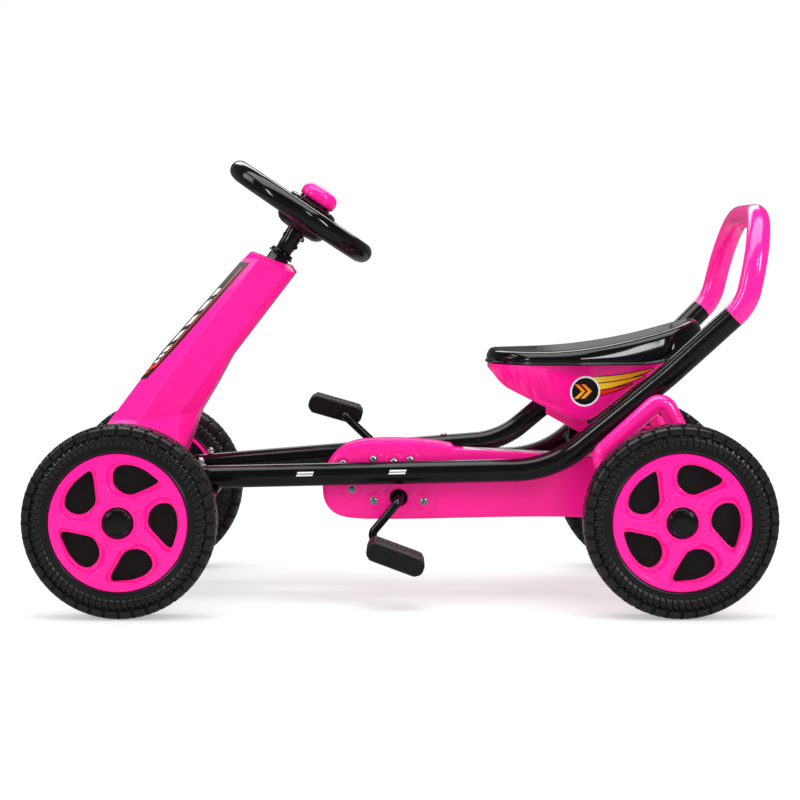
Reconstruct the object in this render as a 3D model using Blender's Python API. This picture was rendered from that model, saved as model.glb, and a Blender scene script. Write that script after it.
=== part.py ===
"""A child's pedal drift kart, modelled piece by piece at its real size.

Metres, +Z up. The kart faces -X, so its left side is -Y. The origin is on the ground, in the middle
of the kart's box. Two steel rails carry everything: they rise behind the seat into a pink hoop.
"""

import math

import bmesh
import bpy
from mathutils import Matrix, Vector

# Wheels. A turned part's radius is measured to its flats, and one flat is at the bottom.
WHEELBASE = 0.719
TRACK = 0.42
TYRE_RADIUS = 0.125
TYRE_WIDTH = 0.056
RIM_RADIUS = 0.0892
OPENINGS = 5
AXLE_RADIUS = 0.006
FIT_GAP = 0.0003
RUN_GAP = 0.0005

# Frame tubes, as points on their centre lines
TUBE_WALL = 0.0015
RAIL_RADIUS = 0.0155
RAIL_FRONT = (-0.284, 0.070, 0.1658)
RAIL_BEND = (0.2045, 0.080, 0.1775)
RAIL_KNEE = (0.3524, 0.122, 0.3052)
RAIL_TOP = (0.4359, 0.146, 0.3859)
HOOP_CORNER_LOW = (0.4511, 0.1504, 0.4006)
HOOP_CORNER_HIGH = (0.4771, 0.146, 0.5181)
HOOP_BENDS = (0.064, 0.097, 0.097, 0.064)
SEAT_TUBE_RADIUS = 0.014
SEAT_TUBE_FRONT = (-0.284, 0.0, 0.1752)
SEAT_TUBE_BEND = (0.1394, 0.0, 0.2094)
SEAT_TUBE_TOP = (0.2530, 0.0, 0.3048)
SEAT_CROSSBAR = (0.240, 0.0, 0.2050)
SEAT_CROSSBAR_HALF = 0.0718
REAR_CROSSBAR = (0.350, 0.0, 0.2620)
REAR_CROSSBAR_HALF = 0.1265
BRACKET_Y = 0.1395
BRACKET_CORNERS = ((0.2575, 0.1983), (0.3444, 0.2785), (0.3885, 0.1950), (0.3595, 0.1250))
PLATE_TOP = 0.1495
PLATE_THICKNESS = 0.005

# Steering
COLUMN_TILT = math.radians(34.0)
BOSS = Vector((-0.1278, 0.0, 0.5189))
WHEEL_TUBE = 0.0140
WHEEL_RADIUS = 0.1045
WHEEL_SHIFT = -0.0065
WHEEL_FLAT = 0.0907
SHAFT_RADIUS = 0.0115
PITMAN_AT = 0.393
PITMAN_LENGTH = 0.0475
KINGPIN_Y = 0.155
BEAM_Z = 0.1315
STEER_ARM = 0.057
TIE_ROD_Z = 0.1665

# Pedal drive. The chain runs in the middle plane of its guard.
CRANK_AXIS = Vector((-0.0019, 0.0, 0.1361))
CRANK_OUT = 0.098
CRANK_ROD = 0.0058
LEFT_ELBOW = (-0.0420, 0.0885)
LEFT_PEDAL_AXIS = (-0.0060, 0.0690)
RIGHT_ELBOW = (-0.0100, 0.1700)
RIGHT_PEDAL_AXIS = (-0.0796, 0.2353)
PEDAL_IN = 0.113
PEDAL_OUT = 0.173
PEDAL_LENGTH = 0.079
PEDAL_HEIGHT = 0.024
RIGHT_PEDAL_SHIFT = (-0.0150, 0.0035)
CHAIN_Y = -0.0365
RING_RADIUS = 0.0148
SPROCKET_RADIUS = 0.0105
CHAIN_HEIGHT = 0.0042
GUARD_WIDTH = 0.040
GUARD_WALL = 0.0022

# Seat
SEAT_FRONT = 0.1175
SEAT_REAR = 0.4170
SEAT_LIP_Z = 0.3185
SEAT_WALL = 0.003

PINK = (1.0, 0.010, 0.290)
BLACK = (0.012, 0.012, 0.013)
RUBBER = (0.022, 0.022, 0.023)
STEEL = (0.55, 0.55, 0.56)


def clear_scene():
    """Removes whatever the scene starts with."""
    for obj in list(bpy.data.objects):
        bpy.data.objects.remove(obj, do_unlink=True)


def finish(name, colour, roughness, metallic=0.0):
    """A plain Principled material of one colour."""
    material = bpy.data.materials.new(name)
    material.use_nodes = True
    shader = material.node_tree.nodes["Principled BSDF"]
    shader.inputs["Base Color"].default_value = (*colour, 1.0)
    shader.inputs["Roughness"].default_value = roughness
    shader.inputs["Metallic"].default_value = metallic
    return material


def pink(name):
    return finish(name + "_finish", PINK, 0.28)


def gloss_black(name):
    return finish(name + "_finish", BLACK, 0.22)


def steel(name):
    return finish(name + "_finish", STEEL, 0.32, 1.0)


def place(name, bm, material, parent=None, location=(0.0, 0.0, 0.0)):
    """Turns a closed bmesh into a named object under its parent."""
    bmesh.ops.recalc_face_normals(bm, faces=bm.faces)
    mesh = bpy.data.meshes.new(name)
    bm.to_mesh(mesh)
    bm.free()
    mesh.shade_smooth()
    mesh.set_sharp_from_angle(angle=math.radians(35))
    obj = bpy.data.objects.new(name, mesh)
    obj.location = location
    obj.parent = parent
    if material:
        mesh.materials.append(material)
    bpy.context.scene.collection.objects.link(obj)
    return obj


def axis_empty(name, location, rotation=(0.0, 0.0, 0.0), parent=None):
    """An empty on a joint's axis, which carries the pieces that turn or slide there."""
    empty = bpy.data.objects.new(name, None)
    empty.location = location
    empty.rotation_euler = rotation
    empty.parent = parent
    bpy.context.scene.collection.objects.link(empty)
    return empty


def helper(name, bm, parent=None, location=(0.0, 0.0, 0.0)):
    """A cutter or an added body: it is left out of renders and shown as wires."""
    obj = place(name, bm, None, parent, location)
    obj.hide_render = True
    obj.display_type = "WIRE"
    return obj


def boolean(obj, other, operation="DIFFERENCE"):
    modifier = obj.modifiers.new(operation.lower() + "_" + other.name, "BOOLEAN")
    modifier.operation = operation
    modifier.object = other
    return obj


def skin(rings, closed_rings=False):
    """A bmesh skinned over a list of rings of equal length, capped at both ends unless it loops."""
    bm = bmesh.new()
    loops = [[bm.verts.new(point) for point in ring] for ring in rings]
    pairs = list(zip(loops, loops[1:]))
    if closed_rings:
        pairs.append((loops[-1], loops[0]))
    count = len(loops[0])
    for one, two in pairs:
        for i in range(count):
            j = (i + 1) % count
            bm.faces.new((one[i], one[j], two[j], two[i]))
    if not closed_rings:
        bm.faces.new(loops[0])
        bm.faces.new(loops[-1])
    return bm


def turned(profile, sides=24, axis="Y"):
    """A closed profile of (radius, height) points turned round an axis through the origin."""
    grow = 1.0 / math.cos(math.pi / sides)
    rings = []
    for k in range(sides):
        angle = (k + 0.5) * 2.0 * math.pi / sides
        across, up = grow * math.cos(angle), grow * math.sin(angle)
        if axis == "Y":
            rings.append([Vector((r * across, h, r * up)) for r, h in profile])
        else:
            rings.append([Vector((r * across, r * up, h)) for r, h in profile])
    return skin(rings, closed_rings=True)


def rod(radius, low, high, sides=16, axis="Y"):
    """A plain round bar between two heights on an axis."""
    grow = radius / math.cos(math.pi / sides)
    rings = []
    for height in (low, high):
        ring = []
        for k in range(sides):
            angle = (k + 0.5) * 2.0 * math.pi / sides
            across, up = grow * math.cos(angle), grow * math.sin(angle)
            ring.append(Vector((across, height, up) if axis == "Y" else (across, up, height)))
        rings.append(ring)
    return skin(rings)


def pipe(inner, outer, low, high, sides=16, axis="Y"):
    """A round sleeve with an open bore."""
    return turned([(inner, low), (outer, low), (outer, high), (inner, high)], sides, axis)


def block(low, high):
    """A box between two corners."""
    bm = bmesh.new()
    bmesh.ops.create_cube(bm, size=1.0)
    size = Vector(high) - Vector(low)
    middle = (Vector(high) + Vector(low)) / 2
    bmesh.ops.scale(bm, vec=size, verts=bm.verts)
    bmesh.ops.translate(bm, vec=middle, verts=bm.verts)
    return bm


def prism(outline, low, high):
    """An outline of (x, z) points, extruded along Y."""
    return skin([[Vector((x, y, z)) for x, z in outline] for y in (low, high)])


def inset(outline, wall):
    """The outline moved inwards by a wall, each corner where its two moved edges meet."""
    count = len(outline)
    area = sum(
        outline[i][0] * outline[(i + 1) % count][1] - outline[(i + 1) % count][0] * outline[i][1]
        for i in range(count)
    )
    side = wall if area > 0 else -wall
    moved = []
    for i in range(count):
        before = Vector(outline[i - 1])
        here = Vector(outline[i])
        after = Vector(outline[(i + 1) % count])
        first = (here - before).normalized()
        second = (after - here).normalized()
        bisector = (first + second).normalized()
        normal = Vector((-bisector.y, bisector.x))
        stretch = max(0.5, normal.dot(Vector((-first.y, first.x))))
        moved.append(tuple(here + normal * (side / stretch)))
    return moved


def arc(centre, radius, start, stop, steps):
    """Points (x, z) on an arc, angles in degrees, both ends included."""
    points = []
    for k in range(steps + 1):
        angle = math.radians(start + (stop - start) * k / steps)
        points.append((centre[0] + radius * math.cos(angle), centre[1] + radius * math.sin(angle)))
    return points


def rounded_path(corners, radii, steps=7):
    """A path through corner points, each inner corner replaced by an arc of its radius."""
    corners = [Vector(point) for point in corners]
    path = [corners[0]]
    for before, here, after, radius in zip(corners, corners[1:], corners[2:], radii):
        into = (here - before).normalized()
        out = (after - here).normalized()
        turn = into.angle(out)
        reach = radius * math.tan(turn / 2)
        start = here - into * reach
        normal = (out - into * into.dot(out)).normalized()
        centre = start + normal * radius
        for k in range(steps + 1):
            angle = turn * k / steps
            path.append(centre + (-normal * math.cos(angle) + into * math.sin(angle)) * radius)
    path.append(corners[-1])
    return path


def sweep(path, radius, sides=10, closed=False, wall=None):
    """A round bar carried along a path without twisting; with a wall, an open-ended tube."""
    count = len(path)
    ends = [path[i - 1] if closed or i else path[0] for i in range(count)]
    nexts = [path[(i + 1) % count] if closed or i < count - 1 else path[-1] for i in range(count)]
    tangents = [(b - a).normalized() for a, b in zip(ends, nexts)]
    normal = tangents[0].orthogonal().normalized()
    spokes = []
    for tangent in tangents:
        normal = (normal - tangent * normal.dot(tangent)).normalized()
        side = tangent.cross(normal)
        turns = [2.0 * math.pi * k / sides for k in range(sides)]
        spokes.append([normal * math.cos(turn) + side * math.sin(turn) for turn in turns])
    rings = [[p + spoke * radius for spoke in ring] for p, ring in zip(path, spokes)]
    if wall is None:
        return skin(rings, closed_rings=closed)
    bore = [[p + spoke * (radius - wall) for spoke in ring] for p, ring in zip(path, spokes)]
    return skin(rings + bore[::-1], closed_rings=True)


def mirrored(point, side):
    """A point given for the right-hand side, moved to the side asked for (+1 right, -1 left)."""
    return (point[0], point[1] * side, point[2])


def build_rails():
    """The two bent side rails, the pink hoop over them and the cross tubes between them."""
    for name, side in (("left_rail", -1), ("right_rail", 1)):
        corners = [mirrored(p, side) for p in (RAIL_FRONT, RAIL_BEND, RAIL_KNEE, RAIL_TOP)]
        path = rounded_path(corners, (0.135, 0.50), steps=6)
        place(name, sweep(path, RAIL_RADIUS, 10, wall=TUBE_WALL), gloss_black(name))
        name = name + "_plug"
        forward = (path[0] - path[1]).to_track_quat("Z", "Y").to_euler()
        front = axis_empty(name + "_axis", mirrored(RAIL_FRONT, side), forward)
        radius = 0.88 * (RAIL_RADIUS - TUBE_WALL)
        plug = turned_cup([(radius - 0.002, -0.012), (radius, -0.010), (radius, FIT_GAP),
                           (RAIL_RADIUS, FIT_GAP), (RAIL_RADIUS - 0.002, 0.003)], 10)
        place(name, plug, finish(name + "_finish", BLACK, 0.5), front)

    up = (Vector(HOOP_CORNER_LOW) - Vector(RAIL_TOP)).normalized()
    start = Vector(RAIL_TOP) + up * FIT_GAP
    right = [start, HOOP_CORNER_LOW, HOOP_CORNER_HIGH]
    left = [mirrored(point, -1) for point in reversed(right)]
    path = rounded_path(right + left, HOOP_BENDS, steps=6)
    hoop = sweep(path, RAIL_RADIUS, 10, wall=TUBE_WALL)
    place("backrest_hoop", hoop, pink("backrest_hoop"))

    corners = (SEAT_TUBE_FRONT, SEAT_TUBE_BEND, SEAT_TUBE_TOP)
    path = rounded_path(corners, (0.11,), steps=6)
    tube = sweep(path, SEAT_TUBE_RADIUS, 10, wall=TUBE_WALL)
    place("seat_tube", tube, gloss_black("seat_tube"))


def build_cross_tubes():
    """The bar that holds up the seat tube, with its post, and the bar between the rear brackets."""
    x, _, z = SEAT_CROSSBAR
    half = SEAT_CROSSBAR_HALF
    bar = place(
        "seat_crossbar", rod(0.009, -half, half, 12), gloss_black("seat_crossbar"), None, (x, 0, z)
    )
    slope = (SEAT_TUBE_TOP[2] - SEAT_TUBE_BEND[2]) / (SEAT_TUBE_TOP[0] - SEAT_TUBE_BEND[0])
    tube_z = SEAT_TUBE_BEND[2] + slope * (x - SEAT_TUBE_BEND[0])
    under = tube_z - SEAT_TUBE_RADIUS * math.hypot(1.0, slope) - 2 * FIT_GAP
    reach = 0.007
    post = prism(
        [
            (-reach, 0.0),
            (reach, 0.0),
            (reach, under - z + slope * reach),
            (-reach, under - z - slope * reach),
        ],
        -0.007,
        0.007,
    )
    boolean(bar, helper("seat_post_body", post, None, (x, 0, z)), "UNION")

    x, _, z = REAR_CROSSBAR
    bm = pipe(0.0095 - TUBE_WALL, 0.0095, -REAR_CROSSBAR_HALF, REAR_CROSSBAR_HALF, 12)
    place("rear_crossbar", bm, gloss_black("rear_crossbar"), None, (x, 0, z))


def build_front_frame():
    """The plate under the rails' front ends, the front beam with its forks, and the kingpins."""
    low = PLATE_TOP - PLATE_THICKNESS
    plate = block((-0.395, -0.090, low), (-0.245, 0.090, PLATE_TOP))
    bmesh.ops.bevel(
        plate,
        geom=[e for e in plate.edges if abs(e.verts[0].co.z - e.verts[1].co.z) > 0.001],
        offset=0.012,
        segments=3,
        affect="EDGES",
    )
    place("head_plate", plate, gloss_black("head_plate"))

    x = -WHEELBASE / 2
    tube = rod(0.0125, -0.140, 0.140, 16)
    beam = place("front_beam", tube, gloss_black("front_beam"), None, (x, 0, BEAM_Z))
    for side in (-1, 1):
        tag = "left" if side < 0 else "right"
        web = (0.1345, 0.1405)
        fork = block((-0.011, web[0], -0.0315), (0.011, web[1], 0.0205))
        arms = [((-0.011, web[0], -0.0315), (0.011, 0.167, -0.0265))]
        arms.append(((-0.011, web[0], 0.0155), (0.011, 0.167, 0.0205)))
        body = helper("front_fork_web_" + tag, fork, None, (x, 0, BEAM_Z))
        body.rotation_euler = (0, 0, math.pi if side < 0 else 0)
        boolean(beam, body, "UNION")
        for k, (one, two) in enumerate(arms):
            body = helper("front_fork_arm_%s_%d" % (tag, k), block(one, two), None, (x, 0, BEAM_Z))
            body.rotation_euler = (0, 0, math.pi if side < 0 else 0)
            boolean(beam, body, "UNION")
        bore = rod(0.0046, -0.05, 0.05, 12, "Z")
        cutter = helper("kingpin_bore_" + tag, bore, None, (x, side * KINGPIN_Y, BEAM_Z))
        boolean(beam, cutter)
        name = tag + "_kingpin"
        pin = turned_bolt(0.0042, -0.036, 0.0208, 0.0075, 0.005)
        place(name, pin, steel(name), None, (x, side * KINGPIN_Y, BEAM_Z))
    inside = rod(0.0125 - TUBE_WALL, -0.15, 0.15, 12)
    boolean(beam, helper("front_beam_inside", inside, None, (x, 0, BEAM_Z)))


def turned_bolt(shank, low, shoulder, head, height):
    """A bolt standing on Z: a shank from low up to the shoulder, then a round head."""
    sides = 12
    rings = []
    for radius, z in ((shank, low), (shank, shoulder), (head, shoulder), (head, shoulder + height)):
        grow = radius / math.cos(math.pi / sides)
        angles = [(k + 0.5) * 2 * math.pi / sides for k in range(sides)]
        rings.append([Vector((grow * math.cos(a), grow * math.sin(a), z)) for a in angles])
    return skin(rings)


def steering_frame():
    """The empty on the column's axis: its origin is the wheel's boss, its Z points up the column."""
    return axis_empty("steering_axis", BOSS, (0.0, COLUMN_TILT, 0.0))


def build_column(column):
    """The fixed sleeve round the shaft, with a window for the pitman arm, and the top bush."""
    sleeve = place(
        "column_sleeve",
        pipe(0.0125, 0.0145, -0.470, -0.067, 16, "Z"),
        gloss_black("column_sleeve"),
        column,
    )
    window = block((0.000, -0.030, -PITMAN_AT - 0.013), (0.030, 0.030, -PITMAN_AT + 0.013))
    boolean(sleeve, helper("pitman_window", window, column))
    ground = block((-0.6, -0.1, 0.0), (-0.2, 0.1, PLATE_TOP + FIT_GAP))
    boolean(sleeve, helper("sleeve_foot_cutter", ground))

    bush = turned([(0.0122, -0.0660), (0.0200, -0.0660), (0.0180, -0.0590), (0.0122, -0.0590)],
                  16, "Z")
    place("column_bush", bush, gloss_black("column_bush"), column)


def build_steering(column):
    """The shaft with its pitman arm, the flat-bottomed wheel, its boss and the horn."""
    shaft = pipe(SHAFT_RADIUS - TUBE_WALL, SHAFT_RADIUS, -0.4245, -0.0262, 16, "Z")
    place("steering_shaft", shaft, gloss_black("steering_shaft"), column)

    bore = SHAFT_RADIUS + FIT_GAP
    eye = 0.0078
    arm_z = (-PITMAN_AT - 0.003, -PITMAN_AT + 0.003)
    arm = place(
        "pitman_arm", pipe(bore, 0.0122, *arm_z, 16, "Z"), steel("pitman_arm"), column
    )
    bar = block((0.0120, -0.0055, arm_z[0]), (PITMAN_LENGTH, 0.0055, arm_z[1]))
    boolean(arm, helper("pitman_bar", bar, column), "UNION")
    end = rod(eye, *arm_z, 12, "Z")
    boolean(arm, helper("pitman_eye", end, column, (PITMAN_LENGTH, 0, 0)), "UNION")

    flat_angle = math.degrees(math.acos((WHEEL_FLAT - WHEEL_SHIFT) / WHEEL_RADIUS))
    steps = 22
    ring = []
    for k in range(steps + 1):
        angle = math.radians(flat_angle + (360 - 2 * flat_angle) * k / steps)
        ahead = WHEEL_SHIFT + WHEEL_RADIUS * math.cos(angle)
        ring.append(Vector((ahead, WHEEL_RADIUS * math.sin(angle), 0)))
    width = WHEEL_RADIUS * math.sin(math.radians(flat_angle))
    ring += [Vector((WHEEL_FLAT, width * f, 0)) for f in (-0.5, 0.0, 0.5)]
    wheel = place(
        "steering_wheel", sweep(ring, WHEEL_TUBE, 10, closed=True), gloss_black("steering_wheel"),
        column,
    )
    hub = rod(0.030, -0.004, 0.004, 20, "Z")
    boolean(wheel, helper("wheel_hub_body", hub, column), "UNION")
    for k, (angle, length) in enumerate(((90, WHEEL_RADIUS), (-90, WHEEL_RADIUS), (0, WHEEL_FLAT))):
        bar = block((0.010, -0.013, -0.0036), (length, 0.013, 0.0036))
        spoke = helper("wheel_spoke_%d" % k, bar, column)
        spoke.rotation_euler = (0, 0, math.radians(angle))
        boolean(wheel, spoke, "UNION")

    bowl = turned_cup(
        [(0.0125, -0.0260), (0.0220, -0.0258), (0.0310, -0.0200), (0.0350, -0.0110),
         (0.0345, -0.0043)], 20
    )
    place("wheel_boss", bowl, gloss_black("wheel_boss"), column)
    base = turned_cup([(0.0335, 0.0043), (0.0357, 0.0110), (0.0357, 0.0170), (0.0290, 0.0195)], 20)
    place("horn_base", base, gloss_black("horn_base"), column)

    horn = axis_empty("horn_axis", (0, 0, 0.0240), parent=column)
    dome = turned_cup(
        [(0.0250, 0.0), (0.0262, 0.0060), (0.0240, 0.0135), (0.0150, 0.0185), (0.0045, 0.0197)], 20
    )
    place("horn_button", dome, pink("horn_button"), horn)


def turned_cup(profile, sides):
    """A solid turned round Z from an open profile, closed by a flat face at each end."""
    rings = []
    for radius, z in profile:
        grow = radius / math.cos(math.pi / sides)
        angles = [(k + 0.5) * 2 * math.pi / sides for k in range(sides)]
        rings.append([Vector((grow * math.cos(a), grow * math.sin(a), z)) for a in angles])
    return skin(rings)


def build_knuckles():
    """Each front stub axle, on a sleeve between the beam's fork arms, and its tie rod."""
    x = -WHEELBASE / 2
    for tag, side in (("left", -1), ("right", 1)):
        pivot = axis_empty(tag + "_kingpin_axis", (x, side * KINGPIN_Y, TYRE_RADIUS))
        low, high = 0.1053 - TYRE_RADIUS, 0.1466 - TYRE_RADIUS
        name = tag + "_knuckle"
        knuckle = place(name, pipe(0.0046, 0.0100, low, high, 16, "Z"), steel(name), pivot)
        outward = 0.0705
        stub = rod(AXLE_RADIUS, 0.0070, outward, 12)
        body = helper(tag + "_stub_body", stub, pivot)
        body.rotation_euler = (0, 0, math.pi if side < 0 else 0)
        boolean(knuckle, body, "UNION")
        arm_low, arm_high = high - 0.0055, high
        arm = block((0.0075, -0.0060, arm_low), (STEER_ARM + 0.0065, 0.0060, arm_high))
        boolean(knuckle, helper(tag + "_arm_body", arm, pivot), "UNION")
        pin_top = TIE_ROD_Z + 0.006 - TYRE_RADIUS
        pin = rod(0.0035, arm_low + 0.001, pin_top, 10, "Z")
        boolean(knuckle, helper(tag + "_pin_body", pin, pivot, (STEER_ARM, 0, 0)), "UNION")

        rod_pivot = axis_empty(
            tag + "_tie_axis", (STEER_ARM, 0, TIE_ROD_Z - TYRE_RADIUS), parent=pivot
        )
        name = tag + "_tie_rod"
        tie = place(name, pipe(0.0038, 0.0072, -0.0045, 0.0045, 12, "Z"), steel(name), rod_pivot)
        inner = KINGPIN_Y - 0.0130
        bar = rod(0.0038, 0.0055, inner, 10)
        body = helper(tag + "_tie_bar_body", bar, rod_pivot)
        body.rotation_euler = (0, 0, 0 if side < 0 else math.pi)
        boolean(tie, body, "UNION")


def opening_outline(count=9):
    """One teardrop opening of the rim, as (x, z): a rounded triangle bent round the hub."""
    points = []
    for k in range(count):
        angle = 2 * math.pi * k / count
        swell = 0.0190 + 0.0030 * math.cos(3 * angle)
        radius = 0.0570 + swell * 0.92 * math.cos(angle)
        bend = 0.42 * (radius - 0.0570) / 0.020
        turn = swell * math.sin(angle) / radius + 0.30 * bend
        points.append((radius * math.cos(turn), radius * math.sin(turn)))
    return points


def build_wheel(tag, hub, side):
    """One wheel on its hub empty: tyre, pink rim, black back disc and hub cap.

    A right wheel is the left one turned half round, so both look alike from outside.
    """
    half = TYRE_WIDTH / 2
    tyre = [
        (RIM_RADIUS + FIT_GAP, 0.0240), (0.0960, 0.0250), (0.1110, half), (0.1190, 0.0262),
        (TYRE_RADIUS, 0.0200), (TYRE_RADIUS, -0.0200), (0.1190, -0.0262), (0.1110, -half),
        (0.0960, -0.0250), (RIM_RADIUS + FIT_GAP, -0.0240),
    ]
    name = tag + "_tyre"
    place(name, turned(tyre, 32), finish(name + "_finish", RUBBER, 0.75), hub)

    out = 1.0 if side > 0 else -1.0
    face, back = 0.0235 * out, 0.0120 * out
    rim = [
        (0.0202, face), (RIM_RADIUS, face), (RIM_RADIUS, -face), (0.0830, -face),
        (0.0830, back), (0.0202, back),
    ]
    name = tag + "_rim"
    rim_obj = place(name, turned(rim, 32), pink(name), hub)
    cutter = bmesh.new()
    for k in range(OPENINGS):
        turn = Matrix.Rotation(math.radians(4.0 - k * 360 / OPENINGS), 4, "Y")
        if side > 0:
            turn = Matrix.Rotation(math.pi, 4, "Z") @ turn
        piece = prism(opening_outline(), -0.04, 0.04)
        bmesh.ops.recalc_face_normals(piece, faces=piece.faces)
        bmesh.ops.transform(piece, matrix=turn, verts=piece.verts)
        mesh = bpy.data.meshes.new("opening")
        piece.to_mesh(mesh)
        piece.free()
        cutter.from_mesh(mesh)
        bpy.data.meshes.remove(mesh)
    boolean(rim_obj, helper(tag + "_openings", cutter, hub))

    bore = AXLE_RADIUS + FIT_GAP
    front, rear = (0.0120 - FIT_GAP) * out, -0.0220 * out
    nose = 0.0194
    disc = [
        (bore, 0.0195 * out), (nose, 0.0195 * out), (nose, front), (0.0808, front),
        (0.0808, -0.0060 * out), (0.0260, -0.0060 * out), (0.0260, rear), (bore, rear),
    ]
    name = tag + "_hub"
    place(name, turned(disc, 16), finish(name + "_finish", BLACK, 0.5), hub)

    sides = 20
    rings = []
    for radius, y in ((0.0190, 0.0200), (0.0190, 0.0235), (0.0150, 0.0268), (0.0060, 0.0278)):
        grow = radius / math.cos(math.pi / sides)
        angles = [(k + 0.5) * 2 * math.pi / sides for k in range(sides)]
        rings.append([Vector((grow * math.cos(a), y * out, grow * math.sin(a))) for a in angles])
    name = tag + "_cap"
    place(name, skin(rings), gloss_black(name), hub)


def build_wheels():
    """Four wheels, each on an empty at its hub."""
    for end, x in (("front", -WHEELBASE / 2), ("rear", WHEELBASE / 2)):
        for tag, side in (("left", -1), ("right", 1)):
            name = "%s_%s" % (tag, end)
            hub = axis_empty(name + "_hub_axis", (x, side * TRACK / 2, TYRE_RADIUS))
            build_wheel(name, hub, side)


def build_rear_axle():
    """The turning rear axle with its sprocket, the triangular brackets and their bushes."""
    x = WHEELBASE / 2
    axle = axis_empty("rear_axle_axis", (x, 0, TYRE_RADIUS))
    tip = TRACK / 2 + 0.0185
    place("rear_axle", rod(AXLE_RADIUS, -tip, tip, 16), steel("rear_axle"), axle)
    bore = AXLE_RADIUS + FIT_GAP
    sprocket = pipe(bore, SPROCKET_RADIUS, -0.0012, 0.0012, 18)
    place("rear_sprocket", sprocket, steel("rear_sprocket"), axle, (0, CHAIN_Y, 0))

    for tag, side in (("left", -1), ("right", 1)):
        y = side * BRACKET_Y
        corners = [Vector((along, y, up)) for along, up in BRACKET_CORNERS]
        name = tag + "_rear_bracket"
        frame = place(name, sweep(rounded_loop(corners, 0.013, 4), 0.0122, 10, closed=True),
                      pink(name))
        boss = rod(0.0200, -0.0145, 0.0145, 16)
        boolean(frame, helper(tag + "_boss", boss, None, (x, y, TYRE_RADIUS)), "UNION")
        cut = rod(0.0110 + FIT_GAP, -0.04, 0.04, 16)
        boolean(frame, helper(tag + "_boss_bore", cut, None, (x, y, TYRE_RADIUS)))
        name = tag + "_axle_bush"
        bush = pipe(AXLE_RADIUS + RUN_GAP, 0.0110, -0.0150, 0.0150, 16)
        place(name, bush, gloss_black(name), None, (x, y, TYRE_RADIUS))


def rounded_loop(corners, radius, steps):
    """A closed path round corner points, each corner an arc."""
    path = []
    count = len(corners)
    for i in range(count):
        one = (corners[i - 1] + corners[i]) / 2
        two = (corners[i] + corners[(i + 1) % count]) / 2
        path += rounded_path([one, corners[i], two], (radius,), steps)[:-1]
    return path


def guard_outline():
    """The chain guard seen from the left, as (x, z): round nose, raised front, step, rear lobe."""
    nose = [(-0.0805, 0.1140), (-0.0945, 0.1231), (-0.1020, 0.1351), (-0.1050, 0.1480)]
    crown = [(-0.1010, 0.1780), (-0.0869, 0.1976), (-0.0708, 0.2100), (-0.0527, 0.2150)]
    top = [(0.0037, 0.2160), (0.0439, 0.2130), (0.0700, 0.2090), (0.0800, 0.2030)]
    tail = [(0.1772, 0.1975), (0.2600, 0.1925), (0.3300, 0.1740)]
    lobe = arc((WHEELBASE / 2, TYRE_RADIUS), 0.034, 55, -130, 9)
    belly = [(0.3150, 0.1060), (0.2600, 0.1092), (0.1776, 0.1098), (0.0037, 0.1068),
             (-0.0564, 0.1079)]
    return nose + crown + top + tail + lobe + belly


def build_guard():
    """The two halves of the chain guard, hollow round the chain, with the crank's hole."""
    outline = guard_outline()
    hollow = inset(outline, GUARD_WALL)
    half = GUARD_WIDTH / 2
    for tag, side in (("left", -1), ("right", 1)):
        outer, seam = CHAIN_Y + side * half, CHAIN_Y + side * FIT_GAP
        shell = prism(outline, min(outer, seam), max(outer, seam))
        name = tag + "_chain_guard"
        shell_obj = place(name, shell, pink(name))
        floor = outer - side * GUARD_WALL
        beyond = CHAIN_Y - side * 0.01
        inner = prism(hollow, min(floor, beyond), max(floor, beyond))
        boolean(shell_obj, helper(tag + "_guard_hollow", inner))
        for k, (x, z, radius) in enumerate(
            ((CRANK_AXIS.x, CRANK_AXIS.z, 0.0115), (WHEELBASE / 2, TYRE_RADIUS, 0.0090))
        ):
            hole = rod(radius, -0.10, 0.03, 16)
            boolean(shell_obj, helper("%s_guard_hole_%d" % (tag, k), hole, None, (x, 0, z)))


def racetrack(front, front_radius, rear, rear_radius):
    """The outline round two circles, as (x, z): two arcs whose ends the straight runs join."""
    points = arc((rear.x, rear.z), rear_radius, 88, -88, 10)
    return points + arc((front.x, front.z), front_radius, 268, 92, 10)


def build_drive():
    """The chain and the hanger that holds the crank's bearing under the seat tube."""
    rear = Vector((WHEELBASE / 2, 0, TYRE_RADIUS))
    front_inner, rear_inner = RING_RADIUS + RUN_GAP, SPROCKET_RADIUS + RUN_GAP
    outer = racetrack(CRANK_AXIS, front_inner + CHAIN_HEIGHT, rear, rear_inner + CHAIN_HEIGHT)
    inner = racetrack(CRANK_AXIS, front_inner, rear, rear_inner)
    chain = place("drive_chain", prism(outer, -0.0035, 0.0035), steel("drive_chain"), None,
                  (0, CHAIN_Y, 0))
    boolean(chain, helper("chain_inside", prism(inner, -0.02, 0.02), None, (0, CHAIN_Y, 0)))

    sleeve = pipe(CRANK_ROD + RUN_GAP, 0.0135, -0.0155, 0.0320, 16)
    hanger = place("crank_hanger", sleeve, gloss_black("crank_hanger"), None, CRANK_AXIS)
    slope = (SEAT_TUBE_BEND[2] - SEAT_TUBE_FRONT[2]) / (SEAT_TUBE_BEND[0] - SEAT_TUBE_FRONT[0])
    tube_z = SEAT_TUBE_FRONT[2] + slope * (CRANK_AXIS.x - SEAT_TUBE_FRONT[0])
    top = tube_z - SEAT_TUBE_RADIUS - 2 * FIT_GAP - CRANK_AXIS.z
    reach = 0.018
    plate = prism(
        [(-0.010, 0.0095), (0.010, 0.0095), (reach, top + slope * reach),
         (-reach, top - slope * reach)],
        -0.003,
        0.003,
    )
    boolean(hanger, helper("hanger_plate", plate, None, CRANK_AXIS), "UNION")


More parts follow.
